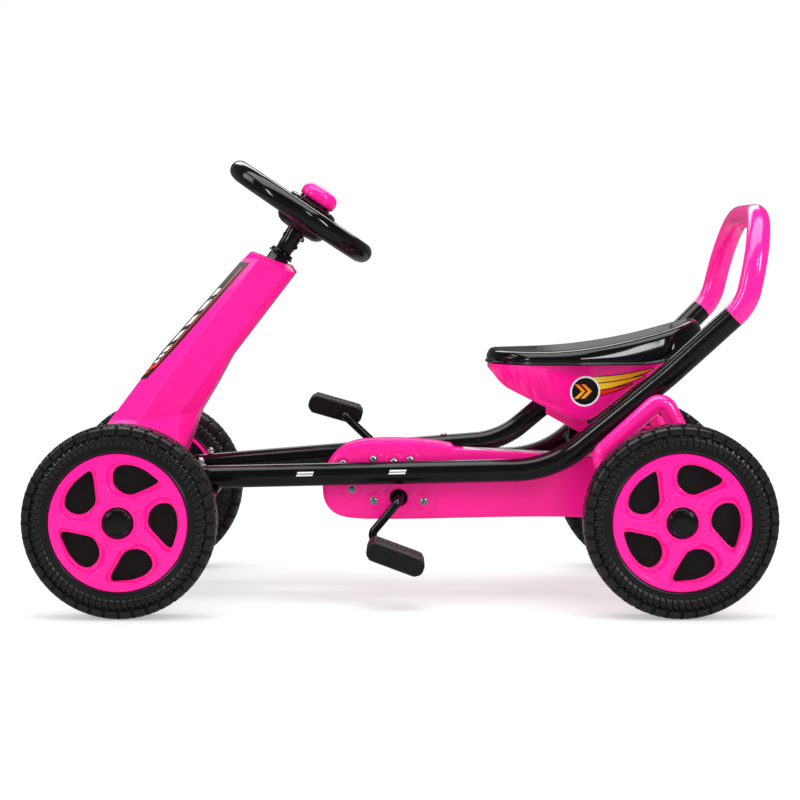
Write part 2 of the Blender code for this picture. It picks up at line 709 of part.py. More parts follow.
def crank_path():
    """The bent crank rod, from the left pedal's end to the right pedal's."""
    left = Vector((LEFT_PEDAL_AXIS[0], 0, LEFT_PEDAL_AXIS[1])) - CRANK_AXIS
    left_elbow = Vector((LEFT_ELBOW[0], 0, LEFT_ELBOW[1])) - CRANK_AXIS
    right = Vector((RIGHT_PEDAL_AXIS[0], 0, RIGHT_PEDAL_AXIS[1])) - CRANK_AXIS
    right_elbow = Vector((RIGHT_ELBOW[0], 0, RIGHT_ELBOW[1])) - CRANK_AXIS
    out = Vector((0, CRANK_OUT, 0))
    tip = Vector((0, PEDAL_OUT - 0.004, 0))
    inner = Vector((0, PEDAL_IN - 0.008, 0))
    corners = [
        left - tip, left - inner, left_elbow - out, -out, out, right_elbow + out, right + inner,
        right + tip,
    ]
    return rounded_path(corners, (0.006, 0.010, 0.010, 0.010, 0.014, 0.006), steps=3)


def build_crank():
    """The crank rod with its chainring, and a pedal on each end."""
    axis = axis_empty("crank_axis", CRANK_AXIS)
    place("crankshaft", sweep(crank_path(), CRANK_ROD, 8), gloss_black("crankshaft"), axis)
    ring = pipe(CRANK_ROD + FIT_GAP, RING_RADIUS, -0.0012, 0.0012, 22)
    place("chainring", ring, steel("chainring"), axis, (0, CHAIN_Y, 0))
    rows = (
        ("left", LEFT_PEDAL_AXIS, -1, 20.5, (0.0, 0.0)),
        ("right", RIGHT_PEDAL_AXIS, 1, 16.0, RIGHT_PEDAL_SHIFT),
    )
    for tag, (x, z), side, tilt, (along, up) in rows:
        name = tag + "_pedal"
        pivot = axis_empty(name + "_axis", (x, 0, z), (0, math.radians(tilt), 0))
        length, height = PEDAL_LENGTH / 2, PEDAL_HEIGHT / 2
        bend = 0.010
        outline = arc((length - bend, height - bend), bend, 0, 90, 4)
        outline += arc((-length + bend, height - bend), bend, 90, 180, 4)
        outline += arc((-length + bend, -height + bend), bend, 180, 270, 4)
        outline += arc((length - bend, -height + bend), bend, 270, 360, 4)
        outline = [(u + along, v + up) for u, v in outline]
        low, high = sorted((side * PEDAL_IN, side * PEDAL_OUT))
        pedal = place(name, prism(outline, low, high), finish(name + "_finish", BLACK, 0.55), pivot)
        bore = rod(CRANK_ROD + RUN_GAP, -0.30, 0.30, 12)
        cutter = helper(tag + "_pedal_bore", bore, pivot, (0, side * (PEDAL_OUT - 0.303), 0))
        boolean(pedal, cutter)


FAIRING_RINGS = (
    ((-0.2030, 0.020, 0.4700), (-0.1930, 0.034, 0.4655), (-0.1570, 0.034, 0.4530),
     (-0.1490, 0.020, 0.4510)),
    ((-0.2120, 0.028, 0.4610), (-0.1910, 0.045, 0.4590), (-0.1540, 0.045, 0.4443),
     (-0.1430, 0.030, 0.4411)),
    ((-0.3235, 0.032, 0.3343), (-0.2765, 0.050, 0.3505), (-0.2375, 0.050, 0.3353),
     (-0.2315, 0.034, 0.3263)),
    ((-0.3590, 0.034, 0.2892), (-0.3170, 0.054, 0.2974), (-0.2645, 0.054, 0.2965),
     (-0.2528, 0.036, 0.2870)),
    ((-0.3945, 0.036, 0.2420), (-0.3530, 0.058, 0.2410), (-0.3005, 0.058, 0.2490),
     (-0.2750, 0.038, 0.2500)),
    ((-0.4300, 0.050, 0.1930), (-0.4020, 0.082, 0.1930), (-0.3000, 0.082, 0.1930),
     (-0.2960, 0.050, 0.1930)),
)


def fairing_rings(shrink, drop):
    """The fairing's rings, pulled in by a wall, the last one dropped to open the underside."""
    rings = []
    for k, half in enumerate(FAIRING_RINGS):
        middle = sum(p[0] for p in half) / len(half)
        ring = []
        for x, y, z in half:
            x += shrink if x < middle else -shrink
            z -= drop if k == len(FAIRING_RINGS) - 1 else 0.0
            z -= 2 * shrink if k == 0 else 0.0
            ring.append(Vector((x, y - shrink, z)))
        ring += [Vector((p.x, -p.y, p.z)) for p in reversed(ring)]
        rings.append(ring)
    return rings


def build_fairing(column):
    """The faceted pink cover over the steering column, and the bracket that holds its foot.

    The cover is a shell open below and holed at the top. The bracket stands on the head plate.
    """
    fairing = place("fairing", skin(fairing_rings(0.0, 0.0)), pink("fairing"))
    boolean(fairing, helper("fairing_hollow", skin(fairing_rings(0.003, 0.02))))
    hole = rod(0.0165, -0.12, -0.02, 16, "Z")
    boolean(fairing, helper("fairing_hole", hole, column))

    foot = PLATE_TOP + FIT_GAP
    strip = block((-0.344, -0.0670, foot), (-0.326, 0.0670, foot + 0.002))
    bracket = place("fairing_bracket", strip, steel("fairing_bracket"))
    for tag, side in (("left", -1), ("right", 1)):
        low, high = sorted((side * 0.0645, side * 0.0670))
        ear = block((-0.344, low, foot), (-0.326, high, 0.2075))
        boolean(bracket, helper("fairing_ear_" + tag, ear), "UNION")


def seat_half_width(x):
    """Half the seat's width: a round nose, widest near the middle, slim between the rails."""
    f = (x - SEAT_FRONT) / (SEAT_REAR - SEAT_FRONT)
    body = 0.108 - 0.032 * max(0.0, f - 0.40) / 0.60
    nose = math.sqrt(max(0.0, 1 - (1 - min(1.0, f / 0.30)) ** 2))
    tail = math.sqrt(max(0.0, 1 - (max(0.0, f - 0.84) / 0.165) ** 2))
    return max(0.012, body * (0.25 + 0.75 * nose) * (0.35 + 0.65 * tail))


def seat_top_z(x):
    """Height of the seat's middle line: a quick rise in front, then ever steeper to the rear."""
    f = (x - SEAT_FRONT) / (SEAT_REAR - SEAT_FRONT)
    nose = 0.0180 * (1 - math.sqrt(max(0.0, 1 - (1 - min(1.0, f / 0.10)) ** 2)))
    tail = 0.0130 * (max(0.0, f - 0.95) / 0.05) ** 2
    return 0.3392 + 0.030 * (x - 0.151) + 0.75 * max(0.0, x - 0.19) ** 2 - nose - tail


def seat_lip_z(x):
    """Height of the lip's lower edge: level, then climbing beside the rails."""
    return SEAT_LIP_Z + 3.4 * max(0.0, x - 0.320) ** 2


SEAT_STATIONS = (0.0, 0.02, 0.06, 0.12, 0.20, 0.32, 0.45, 0.58, 0.70, 0.80, 0.88, 0.94, 0.98, 1.0)


def seat_top_rings(wall, back):
    """Sections of the black seat; with a wall, those of the hollow under it."""
    rings = []
    for f in SEAT_STATIONS[1:-1] if wall else SEAT_STATIONS:
        x = SEAT_FRONT + (SEAT_REAR - SEAT_FRONT) * f
        w, top, lip = seat_half_width(x) - wall, seat_top_z(x) - wall, seat_lip_z(x)
        edge = max(lip + 0.004, top - 0.003)
        foot = lip - (0.02 if wall else 0.0)
        half = [(w * 0.93, foot), (w, foot + 0.0015), (w * 0.985, lip + (edge - lip) * 0.7),
                (w * 0.88, edge), (w * 0.4, top - 0.005)]
        section = half + [(-y, z) for y, z in reversed(half)]
        rings.append([back @ Vector((x, y, z)) for y, z in section])
    return rings


def build_seat():
    """The black saddle, the pink shell under it, and the clamp that slides on the seat tube."""
    slope = math.atan2(SEAT_TUBE_TOP[2] - SEAT_TUBE_BEND[2], SEAT_TUBE_TOP[0] - SEAT_TUBE_BEND[0])
    rest = Vector((0.212, 0.0, 0.0))
    rest.z = SEAT_TUBE_BEND[2] + math.tan(slope) * (rest.x - SEAT_TUBE_BEND[0])
    slide = axis_empty("seat_slide_axis", rest, (0.0, -slope, 0.0))
    back = slide_local(slide, rest, slope)

    top = place("seat_top", skin(seat_top_rings(0.0, back)), gloss_black("seat_top"), slide)
    boolean(top, helper("seat_hollow", skin(seat_top_rings(SEAT_WALL, back)), slide))

    shell = place("seat_shell", skin(shell_rings(0.0, back)), pink("seat_shell"), slide)
    boolean(shell, helper("shell_hollow", skin(shell_rings(SEAT_WALL, back)), slide))
    slot = block((-0.075, -0.0185, -0.060), (0.055, 0.0185, 0.0195))
    boolean(shell, helper("shell_slot", slot, slide))

    for tag, side in (("left", -1), ("right", 1)):
        low, high = sorted((side * 0.0205, side * 0.0350))
        cheek = prism([(0.1990, 0.2574), (0.2470, 0.2235), (0.2530, 0.2320), (0.2480, 0.2420),
                       (0.2040, 0.2590)], low, high)
        bmesh.ops.transform(cheek, matrix=back, verts=cheek.verts)
        boolean(shell, helper("seat_keel_" + tag, cheek, slide), "UNION")

    clamp = block((-0.018, -0.0170, -0.0165), (0.018, 0.0170, 0.0165))
    name = "seat_clamp"
    clamp_obj = place(name, clamp, finish(name + "_finish", BLACK, 0.45), slide)
    pillar = block((0.196, -0.012, 0.270), (0.222, 0.012, SEAT_LIP_Z + SEAT_WALL))
    bmesh.ops.transform(pillar, matrix=back, verts=pillar.verts)
    boolean(clamp_obj, helper("clamp_pillar", pillar, slide), "UNION")
    bore = rod(SEAT_TUBE_RADIUS + RUN_GAP, -0.03, 0.03, 16, "Z")
    cutter = helper("clamp_bore", bore, slide)
    cutter.rotation_euler = (0, math.pi / 2, 0)
    boolean(clamp_obj, cutter)
    mouth = block((-0.05, -0.0090, -0.030), (0.05, 0.0090, 0.0))
    boolean(clamp_obj, helper("clamp_mouth", mouth, slide))


def slide_local(slide, rest, slope):
    """The matrix that takes world points into the seat slide's own axes."""
    turn = Matrix.Rotation(-slope, 4, "Y")
    return (Matrix.Translation(rest) @ turn).inverted()


# The pink shell's sections, front to rear: x, height of the floor, half-width there and at the lip
SHELL_STATIONS = (
    (0.1230, 0.3120, 0.036, 0.046), (0.1290, 0.3000, 0.046, 0.064), (0.1420, 0.2870, 0.054, 0.080),
    (0.1690, 0.2735, 0.060, 0.096), (0.1960, 0.2600, 0.060, 0.098), (0.2200, 0.2490, 0.059, 0.090),
    (0.2440, 0.2400, 0.056, 0.076), (0.2600, 0.2420, 0.056, 0.068), (0.2900, 0.2660, 0.058, 0.068),
    (0.3200, 0.2900, 0.060, 0.070), (0.3500, 0.3110, 0.062, 0.070),
)


def shell_rings(wall, back):
    """Sections of the pink shell, each tapering from the lip down to its floor.

    With a wall, they are those of the hollow inside it, which is open at the top.
    """
    rings = []
    last = len(SHELL_STATIONS) - 1
    for k, (x, floor, low, wide) in enumerate(SHELL_STATIONS):
        if k == 0:
            x += wall
        if k == last:
            x -= wall
        low, wide = low - wall, wide - wall
        top = SEAT_LIP_Z - FIT_GAP + (0.02 if wall else 0.0)
        bottom = floor + wall
        middle = (SEAT_LIP_Z + bottom) / 2
        half = [(low - 0.008, bottom), (low, bottom + 0.002), ((low + 2 * wide) / 3, middle),
                (wide, SEAT_LIP_Z - FIT_GAP)]
        if wall:
            half.append((wide, top))
        section = [(-y, z) for y, z in reversed(half)] + half
        rings.append([back @ Vector((x, y, z)) for y, z in section])
    return rings


def main():
    clear_scene()
    build_rails()
    build_cross_tubes()
    build_front_frame()
    column = steering_frame()
    build_column(column)
    build_steering(column)
    build_fairing(column)
    build_knuckles()
    build_wheels()
    build_rear_axle()
    build_guard()
    build_drive()
    build_crank()
    build_seat()


main()
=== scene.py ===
"""The finished look of a child's pedal drift kart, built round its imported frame.

Metres, +Z up. The kart faces -X and shows its left side, which is -Y, to the camera. Each class is
one sub-assembly: it holds its sizes, works its surfaces out as numpy arrays and dresses them.
"""

import enum
import functools
import logging
import math
from dataclasses import dataclass, field
from typing import Callable, Optional, Sequence

import bmesh
import bpy
import numpy as np
from mathutils import Matrix, Vector, geometry


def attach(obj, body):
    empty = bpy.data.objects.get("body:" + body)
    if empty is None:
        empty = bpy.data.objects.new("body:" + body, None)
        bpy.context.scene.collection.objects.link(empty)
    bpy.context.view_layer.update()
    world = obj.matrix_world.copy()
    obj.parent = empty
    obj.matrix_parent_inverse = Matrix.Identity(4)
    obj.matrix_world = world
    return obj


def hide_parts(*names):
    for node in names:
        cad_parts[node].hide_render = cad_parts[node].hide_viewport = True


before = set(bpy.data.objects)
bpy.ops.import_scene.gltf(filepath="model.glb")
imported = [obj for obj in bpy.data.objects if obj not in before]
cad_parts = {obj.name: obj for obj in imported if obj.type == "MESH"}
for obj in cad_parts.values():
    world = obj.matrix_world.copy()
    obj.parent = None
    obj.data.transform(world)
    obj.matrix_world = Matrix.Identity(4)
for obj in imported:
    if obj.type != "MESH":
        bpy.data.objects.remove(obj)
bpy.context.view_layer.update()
LOG = logging.getLogger("kart")

# Sizes are in metres and turns in degrees. The bosses are the small studs round a rim's hub, the
# roundel's middle is (x, z) on the saddle's shell, and CHAIN_Y is the chain guard's middle plane.
WHEELBASE = 0.719
TRACK = 0.42
HUB_HEIGHT = 0.125
SPOKES = 5
FIFTH = 360.0 / SPOKES
BOSS_TURN = 25.5
BOSS_RING = 0.0296
ROUNDEL = (0.2494, 0.2818)
ROUNDEL_RADII = (0.0208, 0.0184)
TUBE_SIDES = 40
MM_PER_M = 1000
CRANK_AXIS = (-0.0019, 0.0, 0.1361)
CHAIN_Y = -0.0365

Points = np.ndarray
Socket = bpy.types.NodeSocket


class Half(enum.Enum):
    """A choice between two halves of the kart, with the sign of an axis."""

    @property
    def tag(self) -> str:
        """Its word in node names."""
        return self.name.lower()


class Side(Half):
    """The kart's two sides, with the sign of their Y."""

    LEFT = -1
    RIGHT = 1


class End(Half):
    """The kart's two ends, with the sign of their X."""

    FRONT = -1
    REAR = 1


@dataclass
class Shape:
    """Points with polygons over them; each face array holds polygons of one corner count."""

    points: Points
    faces: list[np.ndarray]

    def __add__(self, other: "Shape") -> "Shape":
        """Both shapes as one.

        Args:
            other: the shape that joins this one.

        Returns:
            One shape with the faces of both.
        """
        start = len(self.points)
        return Shape(np.vstack([self.points, other.points]),
                     self.faces + [face + start for face in other.faces])

    def placed(self, matrix: Matrix) -> "Shape":
        """The shape carried by a matrix."""
        turn = np.array(matrix)
        return Shape(self.points @ turn[:3, :3].T + turn[:3, 3], self.faces)

    def copies(self, matrices: Sequence[Matrix]) -> "Shape":
        """The shape repeated once for each matrix."""
        return joined([self.placed(matrix) for matrix in matrices])


def joined(shapes: Sequence[Shape]) -> Shape:
    """Several shapes as one."""
    return sum(shapes[1:], shapes[0])


def smoothstep(low: float, high: float, value: Points) -> Points:
    """0 below low, 1 above high, and 3t^2 - 2t^3 between them."""
    t = np.clip((value - low) / (high - low), 0.0, 1.0)
    return t * t * (3.0 - 2.0 * t)


def window(value: Points, low: float, high: float, soft: float) -> Points:
    """1 between low and high, 0 outside them, changing over a soft width centred on each."""
    half = soft / 2
    return smoothstep(low - half, low + half, value) * (
        1 - smoothstep(high - half, high + half, value))


def grid(points: Points, wrap_rows: bool = False, wrap_columns: bool = True,
         caps: bool = False) -> Shape:
    """A surface over an array of points.

    Quad (i, j) joins points (i, j), (i, j + 1), (i + 1, j + 1) and (i + 1, j).

    Args:
        points: array of shape (rows, columns, 3).
        wrap_rows: join the last row to the first.
        wrap_columns: join the last column to the first.
        caps: close the first and last row with a fan round its middle.

    Returns:
        The surface.
    """
    rows, columns = points.shape[:2]
    index = np.arange(rows * columns).reshape(rows, columns)
    net = np.vstack([index, index[:1]]) if wrap_rows else index
    net = np.hstack([net, net[:, :1]]) if wrap_columns else net
    quads = np.stack([net[:-1, :-1], net[:-1, 1:], net[1:, 1:], net[1:, :-1]], axis=-1)
    faces = [quads.reshape(-1, 4)]
    flat = points.reshape(-1, 3)
    if caps:
        for ring in (index[0], index[-1]):
            centre = np.full(columns, len(flat))
            faces.append(np.stack([ring, np.roll(ring, -1), centre], axis=-1))
            flat = np.vstack([flat, flat[ring].mean(axis=0)])
    return Shape(flat, faces)


def lathe(profile: Sequence[tuple[float, float]], sides: int) -> Shape:
    """A profile of (radius, height) turned round Z: (r cos a, r sin a, h).

    Args:
        profile: the points, in order; the last joins the first, unless both lie on the axis.
        sides: how many columns there are round the axis.

    Returns:
        The turned solid.
    """
    radius, height = np.array(profile, dtype=float).T
    on_axis = radius[0] == 0.0 and radius[-1] == 0.0
    angle = np.arange(sides) * 2 * np.pi / sides
    points = np.stack([radius[:, None] * np.cos(angle), radius[:, None] * np.sin(angle),
                       np.repeat(height[:, None], sides, axis=1)], axis=-1)
    return grid(points, wrap_rows=not on_axis)


def unit(vectors: Points) -> Points:
    """The vectors, each divided by its length."""
    return vectors / np.linalg.norm(vectors, axis=-1, keepdims=True)


def rounded_path(corners: Sequence[Sequence[float]], radii: Sequence[float],
                 steps: int = 14) -> Points:
    """A path through corner points with each inner corner replaced by an arc.

    The arc's centre lies on the bend's inner bisector, and it meets both runs at a tangent.

    Args:
        corners: the corner points.
        radii: one radius for each inner corner.
        steps: how many steps an arc has.

    Returns:
        The path's points in order.
    """
    spots = np.array(corners, dtype=float)
    path = [spots[:1]]
    for before, here, after, radius in zip(spots, spots[1:], spots[2:], radii):
        into, out = unit(here - before), unit(after - here)
        turn = math.acos(float(np.clip(into @ out, -1, 1)))
        normal = unit(out - into * (into @ out))
        centre = here - into * radius * math.tan(turn / 2) + normal * radius
        angle = np.linspace(0, turn, steps + 1)[:, None]
        path.append(centre + radius * (into * np.sin(angle) - normal * np.cos(angle)))
    path.append(spots[-1:])
    return np.vstack(path)


def rounded_loop(corners: Sequence[Sequence[float]], radii: Sequence[float],
                 steps: int = 10) -> Points:
    """A closed path of any dimension round corner points, each corner an arc of its radius.

    Args:
        corners: the corner points in order.
        radii: one for each corner.
        steps: how many steps an arc has.

    Returns:
        The closed path's points.
    """
    spots = np.array(corners, dtype=float)
    before, after = np.roll(spots, 1, axis=0), np.roll(spots, -1, axis=0)
    path = []
    for one, here, two, radius in zip(before, spots, after, radii):
        path.append(rounded_path([(one + here) / 2, here, (here + two) / 2], [radius], steps)[1:-1])
    return np.vstack(path)


def refined(path: Points, spacing: float, closed: bool = False) -> Points:
    """The path with its long runs split into steps of at most the spacing; its points all stay.

    Args:
        path: its points.
        spacing: the longest step.
        closed: the path is a loop.

    Returns:
        The old points with the new ones between them.
    """
    ends = np.vstack([path, path[:1]]) if closed else path
    pieces = []
    for one, two in zip(ends, ends[1:]):
        count = max(1, int(math.ceil(np.linalg.norm(two - one) / spacing)))
        pieces.append(one + (two - one) * (np.arange(count) / count)[:, None])
    if not closed:
        pieces.append(ends[-1:])
    return np.vstack(pieces)


def section_frames(path: Points, closed: bool) -> tuple[Points, Points]:
    """Two unit vectors across the path at each station, carried along it without twist.

    Args:
        path: its stations.
        closed: the path is a loop.

    Returns:
        Both vectors, as an array each.
    """
    if closed:
        tangents = unit(np.roll(path, -1, axis=0) - np.roll(path, 1, axis=0))
    else:
        tangents = unit(np.gradient(path, axis=0))
    seed = np.eye(3)[int(np.argmin(np.abs(tangents[0])))]
    normals = []
    for tangent in tangents:
        seed = unit(seed - tangent * (seed @ tangent))
        normals.append(seed)
    across = np.array(normals)
    return across, np.cross(tangents, across)


def tube(path: Points, radius: float, sides: int = TUBE_SIDES, closed: bool = False,
         widths: Optional[Points] = None) -> Shape:
    """A round bar along a path: centre + radius (n cos a + b sin a) at each station.

    Args:
        path: stations on its centre line, of shape (count, 3).
        radius: the bar's radius.
        sides: points round it.
        closed: the path is a loop.
        widths: a factor on the radius at each station.

    Returns:
        The closed surface.
    """
    normal, other = section_frames(path, closed)
    angle = np.arange(sides) * 2 * np.pi / sides
    size = np.full(len(path), radius) if widths is None else radius * widths
    spokes = (normal[:, None] * np.cos(angle)[None, :, None]
              + other[:, None] * np.sin(angle)[None, :, None])
    points = path[:, None] + size[:, None, None] * spokes
    return grid(points, wrap_rows=closed, caps=not closed)


def cross_bar(x: float, z: float, half: float, radius: float) -> Shape:
    """A straight round bar across the kart, reaching half its length to each side."""
    return tube(refined(np.array([[x, -half, z], [x, half, z]]), 0.02), radius)


def outline_inset(outline: Points, distance: float) -> Points:
    """A closed 2-D outline moved inwards along its normals, which are its turned tangents.

    Args:
        outline: points (u, v) in order round it.
        distance: how far, as one number or one for each point.

    Returns:
        The moved outline.
    """
    tangent = unit(np.roll(outline, -1, axis=0) - np.roll(outline, 1, axis=0))
    x, y = outline.T
    area = np.sum(x * np.roll(y, -1) - np.roll(x, -1) * y)
    inwards = np.stack([-tangent[:, 1], tangent[:, 0]], axis=1) * np.sign(area)
    return outline + inwards * distance


def plate(outline: Points, low: float, high: float, edge: float) -> Shape:
    """A flat solid over a closed 2-D outline, whose rims are quarter circles.

    A rim station at angle a lies edge (1 - cos a) inside the outline and edge (1 - sin a) below
    the face. Points come out as (u, v, height).

    Args:
        outline: points (u, v) in order round it.
        low: height of the underside.
        high: height of the top.
        edge: radius of the rim.

    Returns:
        The closed solid.
    """
    angles = np.linspace(0, np.pi / 2, 5)
    ring = [(edge * (1 - math.cos(a)), high - edge * (1 - math.sin(a))) for a in angles]
    ring.append((edge * 1.6, high))
    under = [(inset, low + high - height) for inset, height in reversed(ring)]
    stack = [np.column_stack([outline_inset(outline, inset), np.full(len(outline), height)])
             for inset, height in under + ring]
    return grid(np.array(stack), caps=True)


def flat_face(outline: Points, hole: Points) -> Shape:
    """The flat region between an outline and a hole in it, cut into triangles.

    Args:
        outline: its points.
        hole: the points of the hole.

    Returns:
        The region.
    """
    loops = [[Vector(point) for point in loop] for loop in (outline, hole)]
    triangles = np.array(geometry.tessellate_polygon(loops))
    return Shape(np.vstack([outline, hole]), [triangles])


def rounded_block(low: Sequence[float], high: Sequence[float], edge: float,
                  segments: int = 3) -> Shape:
    """A box between two corners with all its edges rounded.

    Args:
        low: its lowest corner.
        high: its highest corner.
        edge: radius of the edges.
        segments: steps in a rounded edge.

    Returns:
        The closed solid.
    """
    bm = bmesh.new()
    bmesh.ops.create_cube(bm, size=1.0)
    size, middle = Vector(high) - Vector(low), (Vector(high) + Vector(low)) / 2
    bmesh.ops.scale(bm, vec=size, verts=bm.verts)
    bmesh.ops.translate(bm, vec=middle, verts=bm.verts)
    bmesh.ops.bevel(bm, geom=list(bm.edges), offset=edge, segments=segments, affect="EDGES",
                    profile=0.5, clamp_overlap=True)
    bmesh.ops.triangulate(bm, faces=bm.faces)
    points = np.array([vert.co for vert in bm.verts])
    faces = np.array([[vert.index for vert in face.verts] for face in bm.faces])
    bm.free()
    return Shape(points, [faces])


def axis_matrix(origin: Sequence[float], towards: Sequence[float]) -> Matrix:
    """The matrix that takes local Z onto a direction, with its origin at a point."""
    turn = Vector(towards).to_track_quat("Z", "Y").to_matrix().to_4x4()
    return Matrix.Translation(Vector(origin)) @ turn


UPRIGHT = Matrix(((1, 0, 0, 0), (0, 0, -1, 0), (0, 1, 0, 0), (0, 0, 0, 1)))


class Tree:
    """A short hand for building a node tree."""

    def __init__(self, tree: bpy.types.NodeTree) -> None:
        """Keeps the tree that the nodes go into."""
        self.tree = tree

    def node(self, kind: str, **settings: object) -> bpy.types.Node:
        """A new node with these settings.

        Args:
            kind: the node's type.
            settings: its attributes by name.

        Returns:
            The node.
        """
        made = self.tree.nodes.new(kind)
        for name, value in settings.items():
            setattr(made, name, value)
        return made

    def feed(self, socket: Socket, value: object) -> None:
        """Links a socket to an output, or sets its number.

        Args:
            socket: the input.
            value: an output or a number.
        """
        if isinstance(value, bpy.types.NodeSocket):
            self.tree.links.new(value, socket)
        else:
            socket.default_value = value

    def fed(self, kind: str, inputs: dict[int | str, object], output: int | str = 0,
            **settings: object) -> Socket:
        """A new node's output, with its inputs fed.

        Args:
            kind: the node's type.
            inputs: an output or a number for each input, by its place or name.
            output: the place or name of the output.
            settings: the node's attributes by name.

        Returns:
            That output.
        """
        made = self.node(kind, **settings)
        for place, value in inputs.items():
            self.feed(made.inputs[place], value)
        return made.outputs[output]

    def math(self, operation: str, one: object, two: object = 0.0, clamp: bool = False) -> Socket:
        """One Math node's result."""
        return self.fed("ShaderNodeMath", {0: one, 1: two}, operation=operation, use_clamp=clamp)

    def mix(self, mask: object, one: object, two: object) -> Socket:
        """Colour one where the mask is 0 and colour two where it is 1."""
        return self.fed("ShaderNodeMix", {0: mask, 6: one, 7: two}, 2, data_type="RGBA")

    def blend(self, mask: object, one: object, two: object) -> Socket:
        """Number one where the mask is 0 and number two where it is 1."""
        return self.fed("ShaderNodeMix", {0: mask, 2: one, 3: two}, data_type="FLOAT")

    def above(self, value: object, edge: float, soft: float = 0.0003) -> Socket:
        """0 below an edge and 1 above it, ramped over a soft width."""
        return self.fed("ShaderNodeMapRange", {0: value, 1: edge - soft / 2, 2: edge + soft / 2},
                        clamp=True)

    def between(self, value: object, low: float, high: float, soft: float = 0.0003) -> Socket:
        """1 between two edges."""
        return self.math("SUBTRACT", self.above(value, low, soft), self.above(value, high, soft),
                         clamp=True)

    def both(self, *masks: Socket) -> Socket:
        """The product of masks."""
        return functools.reduce(functools.partial(self.math, "MULTIPLY"), masks)

    def either(self, *masks: Socket) -> Socket:
        """The greatest of masks."""
        return functools.reduce(functools.partial(self.math, "MAXIMUM"), masks)

    def distance(self, right: Socket, up: Socket) -> Socket:
        """The length of (right, up): the root of the sum of their squares."""
        squares = [self.math("MULTIPLY", value, value) for value in (right, up)]
        return self.math("POWER", self.math("ADD", *squares), 0.5)

    def attribute(self, name: str) -> Socket:
        """A number that the mesh carries on its points."""
        return self.node("ShaderNodeAttribute", attribute_name=name).outputs["Fac"]

    def coordinates(self, kind: str) -> Socket:
        """A Texture Coordinate node's output."""
        return self.node("ShaderNodeTexCoord").outputs[kind]

    def place(self, kind: str = "Object") -> Sequence[Socket]:
        """Coordinates as x, y and z."""
        first = self.fed("ShaderNodeSeparateXYZ", {0: self.coordinates(kind)})
        return tuple(first.node.outputs)

    def noise(self, scale: object, detail: float) -> Socket:
        """A noise texture's value on Object coordinates, from 0 to 1."""
        inputs = {"Vector": self.coordinates("Object"), "Scale": scale, "Detail": detail}
        return self.fed("ShaderNodeTexNoise", inputs, "Fac")


def moulded_surface() -> bpy.types.NodeTree:
    """The shared group: slow tone change, fine roughness change and a fine grain.

    Returns:
        The group, made the first time and found by its name after that.
    """
    name = "moulded_surface"
    if name in bpy.data.node_groups:
        return bpy.data.node_groups[name]
    group = bpy.data.node_groups.new(name, "ShaderNodeTree")
    for label, kind, value in (
        ("Colour", "NodeSocketColor", (0.5, 0.5, 0.5, 1)), ("Roughness", "NodeSocketFloat", 0.3),
        ("Tone", "NodeSocketFloat", 0.05), ("Spread", "NodeSocketFloat", 0.05),
        ("Grain Scale", "NodeSocketFloat", 900.0), ("Grain", "NodeSocketFloat", 0.1),
    ):
        group.interface.new_socket(label, in_out="INPUT", socket_type=kind).default_value = value
    for label, kind in (("Colour", "NodeSocketColor"), ("Roughness", "NodeSocketFloat"),
                        ("Normal", "NodeSocketVector")):
        group.interface.new_socket(label, in_out="OUTPUT", socket_type=kind)
    tree = Tree(group)
    inside, outside = tree.node("NodeGroupInput"), tree.node("NodeGroupOutput")
    slow = tree.math("SUBTRACT", tree.noise(14.0, 2.0), 0.5)
    tone = tree.math("ADD", 1.0, tree.math("MULTIPLY", slow, inside.outputs["Tone"]))
    scaled = tree.node("ShaderNodeVectorMath", operation="SCALE")
    tree.feed(scaled.inputs[0], inside.outputs["Colour"])
    tree.feed(scaled.inputs["Scale"], tone)
    fine = tree.math("SUBTRACT", tree.noise(120.0, 4.0), 0.5)
    rough = tree.math("ADD", inside.outputs["Roughness"],
                      tree.math("MULTIPLY", fine, inside.outputs["Spread"]), clamp=True)
    bump = tree.node("ShaderNodeBump")
    bump.inputs["Distance"].default_value = 0.0001
    tree.feed(bump.inputs["Height"], tree.noise(inside.outputs["Grain Scale"], 2.0))
    tree.feed(bump.inputs["Strength"], inside.outputs["Grain"])
    tree.feed(outside.inputs["Colour"], scaled.outputs[0])
    tree.feed(outside.inputs["Roughness"], rough)
    tree.feed(outside.inputs["Normal"], bump.outputs[0])
    return group


Paint = Callable[[Tree, Socket, Socket], tuple[Socket, Socket]]


